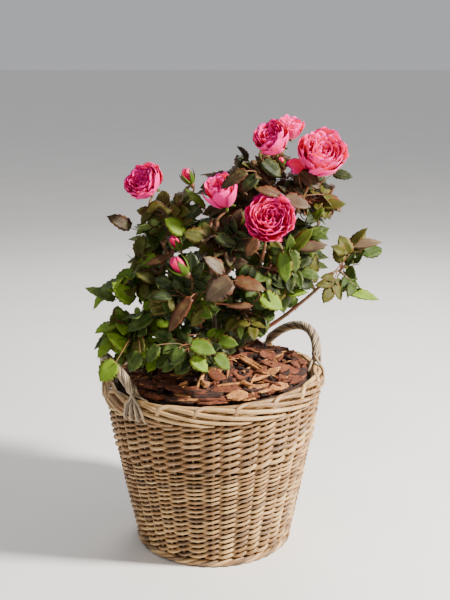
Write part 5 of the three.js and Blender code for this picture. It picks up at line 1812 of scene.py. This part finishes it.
        grown = 0
        if plan["from"] in BARE_TIPS:
            end, way = curve.at(1.0), curve.heading(1.0)
            grown += bool(self.leaf(name, look, end, way, up_at(end), self.reach * 0.9, draw))
        for features in plan.get("buds", ()):
            self.bud_in_photo(stem, features, draw)
        for features in LEAVES_IN_PHOTO.get(name, ()):
            self.leaf_in_photo(stem, features, draw)
        for target in plan["tips"]:
            grown += twig_to(target)
        outward = unit(centre - CROWN_AXIS)
        wanted = plan["leaves"] * self.fullness
        for _ in range(TWIG_TRIES):
            if grown >= wanted:
                break
            height = 1 - 2 * draw()
            swing = draw() * FULL_TURN
            flat = math.sqrt(1 - height * height)
            way = np.array([flat * math.cos(swing), flat * math.sin(swing), height * 0.9])
            way = unit(way + outward * 0.5)
            span = 0.5 + 0.6 * draw() ** 0.6
            grown += twig_to(centre + way * plan["reach"] * span)


def make_foliage(plant):
    """All masses first, then the canes' own leaves where room is left."""
    foliage = Foliage(plant)
    for name, plan in MASSES.items():
        foliage.grow(name, plan)
    for name in CANES:
        foliage.along_cane(name)
    for look, heap in foliage.leaves.items():
        piece = heap.made()
        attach(piece, "root")
        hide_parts(*(name for name, plan in MASSES.items() if plan["look"] == look))
    for heap, slot in ((foliage.twigs, "cane_bark"), (foliage.buds, "petals"),
                       (foliage.bud_greens, "leaf")):
        piece = heap.made()
        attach(piece, "root")


def dress_kept_nodes():
    """Finishes for the solids that stay in view."""
    for name, finish in (("basket_base", "grey_rods"), ("compost", "soil")):
        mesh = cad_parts[name].data
        mesh.materials.clear()
        mesh.materials.append(FINISHES[finish])


def make_stage():
    """The floor, the lights and the camera."""
    bpy.ops.object.select_all(action="DESELECT")
    bpy.ops.mesh.primitive_plane_add(size=FLOOR_SIZE, location=(0, 0, -FLOOR_DROP))
    floor = bpy.context.object
    floor.name = "floor"
    floor.data.materials.append(FINISHES["floor"])
    for name, place, power, size, colour in LIGHTS:
        bpy.ops.object.light_add(type="AREA", location=place)
        light = bpy.context.object
        light.name = name
        light.data.energy = power
        light.data.size = size
        light.data.color = colour
        way = np.array(LIGHTS_AIM) - np.array(place)
        pitch = math.atan2(np.hypot(way[0], way[1]), -way[2])
        light.rotation_euler = (pitch, 0, math.atan2(-way[0], way[1]))
    world = bpy.data.worlds.new("studio")
    world.use_nodes = True
    sky = world.node_tree.nodes["Background"]
    sky.inputs["Color"].default_value = (0.95, 0.96, 1.0, 1)
    sky.inputs["Strength"].default_value = SKY_LIGHT
    bpy.context.scene.world = world
    bpy.ops.object.camera_add(
        location=tuple(value * MM for value in CAMERA_PLACE),
        rotation=(math.radians(90 - CAMERA_PITCH), 0, 0))
    camera = bpy.context.object
    camera.name = "photo_view"
    camera.data.sensor_width = SENSOR_WIDTH
    camera.data.lens = SENSOR_WIDTH * FOCAL_PIXELS / PHOTO_HEIGHT
    camera.data.clip_end = 100
    bpy.context.scene.camera = camera


class ROSE_OT_finishes(bpy.types.Operator):
    """Make the finishes and put them on the solids that stay in view"""

    bl_idname = "rose.finishes"
    bl_label = "Finishes"

    def execute(self, context):
        make_finishes(context.scene.rose_basket, context.scene.rose_plant)
        dress_kept_nodes()
        return {"FINISHED"}


class ROSE_OT_basket_wall(bpy.types.Operator):
    """Weave the basket's wall and twist its foot"""

    bl_idname = "rose.basket_wall"
    bl_label = "Basket wall"

    def execute(self, context):
        make_wall(context.scene.rose_basket)
        make_wale()
        return {"FINISHED"}


class ROSE_OT_border(bpy.types.Operator):
    """Roll the rods of the rim"""

    bl_idname = "rose.border"
    bl_label = "Rolled rim"

    def execute(self, context):
        make_border(context.scene.rose_basket)
        return {"FINISHED"}


class ROSE_OT_handles(bpy.types.Operator):
    """Wind the two handles"""

    bl_idname = "rose.handles"
    bl_label = "Handles"

    def execute(self, context):
        for name, plan in HANDLES.items():
            make_handle(name, plan, context.scene.rose_basket)
        return {"FINISHED"}


class ROSE_OT_mulch(bpy.types.Operator):
    """Lay the bark mulch"""

    bl_idname = "rose.mulch"
    bl_label = "Bark mulch"

    def execute(self, context):
        make_mulch(context.scene.rose_basket)
        return {"FINISHED"}


class ROSE_OT_canes(bpy.types.Operator):
    """Raise the stock and its canes"""

    bl_idname = "rose.canes"
    bl_label = "Stock and canes"

    def execute(self, context):
        make_stock()
        make_canes()
        return {"FINISHED"}


class ROSE_OT_blooms(bpy.types.Operator):
    """Open the blooms on their stalks"""

    bl_idname = "rose.blooms"
    bl_label = "Blooms"

    def execute(self, context):
        make_blooms(context.scene.rose_plant)
        return {"FINISHED"}


class ROSE_OT_foliage(bpy.types.Operator):
    """Grow the twigs, leaves and buds"""

    bl_idname = "rose.foliage"
    bl_label = "Foliage"

    def execute(self, context):
        make_foliage(context.scene.rose_plant)
        return {"FINISHED"}


class ROSE_OT_stage(bpy.types.Operator):
    """Set the floor, the lights and the camera"""

    bl_idname = "rose.stage"
    bl_label = "Stage"

    def execute(self, context):
        make_stage()
        return {"FINISHED"}


OPERATORS = [ROSE_OT_finishes, ROSE_OT_basket_wall, ROSE_OT_border, ROSE_OT_handles, ROSE_OT_mulch,
             ROSE_OT_canes, ROSE_OT_blooms, ROSE_OT_foliage, ROSE_OT_stage]


class ROSE_PT_panel(bpy.types.Panel):
    """The bush's settings and the pieces that can be made"""

    bl_idname = "ROSE_PT_panel"
    bl_label = "Rose bush"
    bl_space_type = "VIEW_3D"
    bl_region_type = "UI"
    bl_category = "Rose bush"

    def draw(self, context):
        for settings in (context.scene.rose_basket, context.scene.rose_plant):
            box = self.layout.box()
            for key in settings.bl_rna.properties.keys():
                if key not in ("rna_type", "name"):
                    box.prop(settings, key)
        for operator in OPERATORS:
            self.layout.operator(operator.bl_idname)


CLASSES = [RoseBasketSettings, RosePlantSettings, *OPERATORS, ROSE_PT_panel]


def register():
    for kind in CLASSES:
        bpy.utils.register_class(kind)
    bpy.types.Scene.rose_basket = bpy.props.PointerProperty(type=RoseBasketSettings)
    bpy.types.Scene.rose_plant = bpy.props.PointerProperty(type=RosePlantSettings)


def unregister():
    del bpy.types.Scene.rose_plant
    del bpy.types.Scene.rose_basket
    for kind in reversed(CLASSES):
        bpy.utils.unregister_class(kind)


def main():
    """Makes every piece in order by its operator."""
    register()
    bpy.ops.rose.finishes()
    bpy.ops.rose.basket_wall()
    bpy.ops.rose.border()
    bpy.ops.rose.handles()
    bpy.ops.rose.mulch()
    bpy.ops.rose.canes()
    bpy.ops.rose.blooms()
    bpy.ops.rose.foliage()
    bpy.ops.rose.stage()


if __name__ == "__main__":
    main()
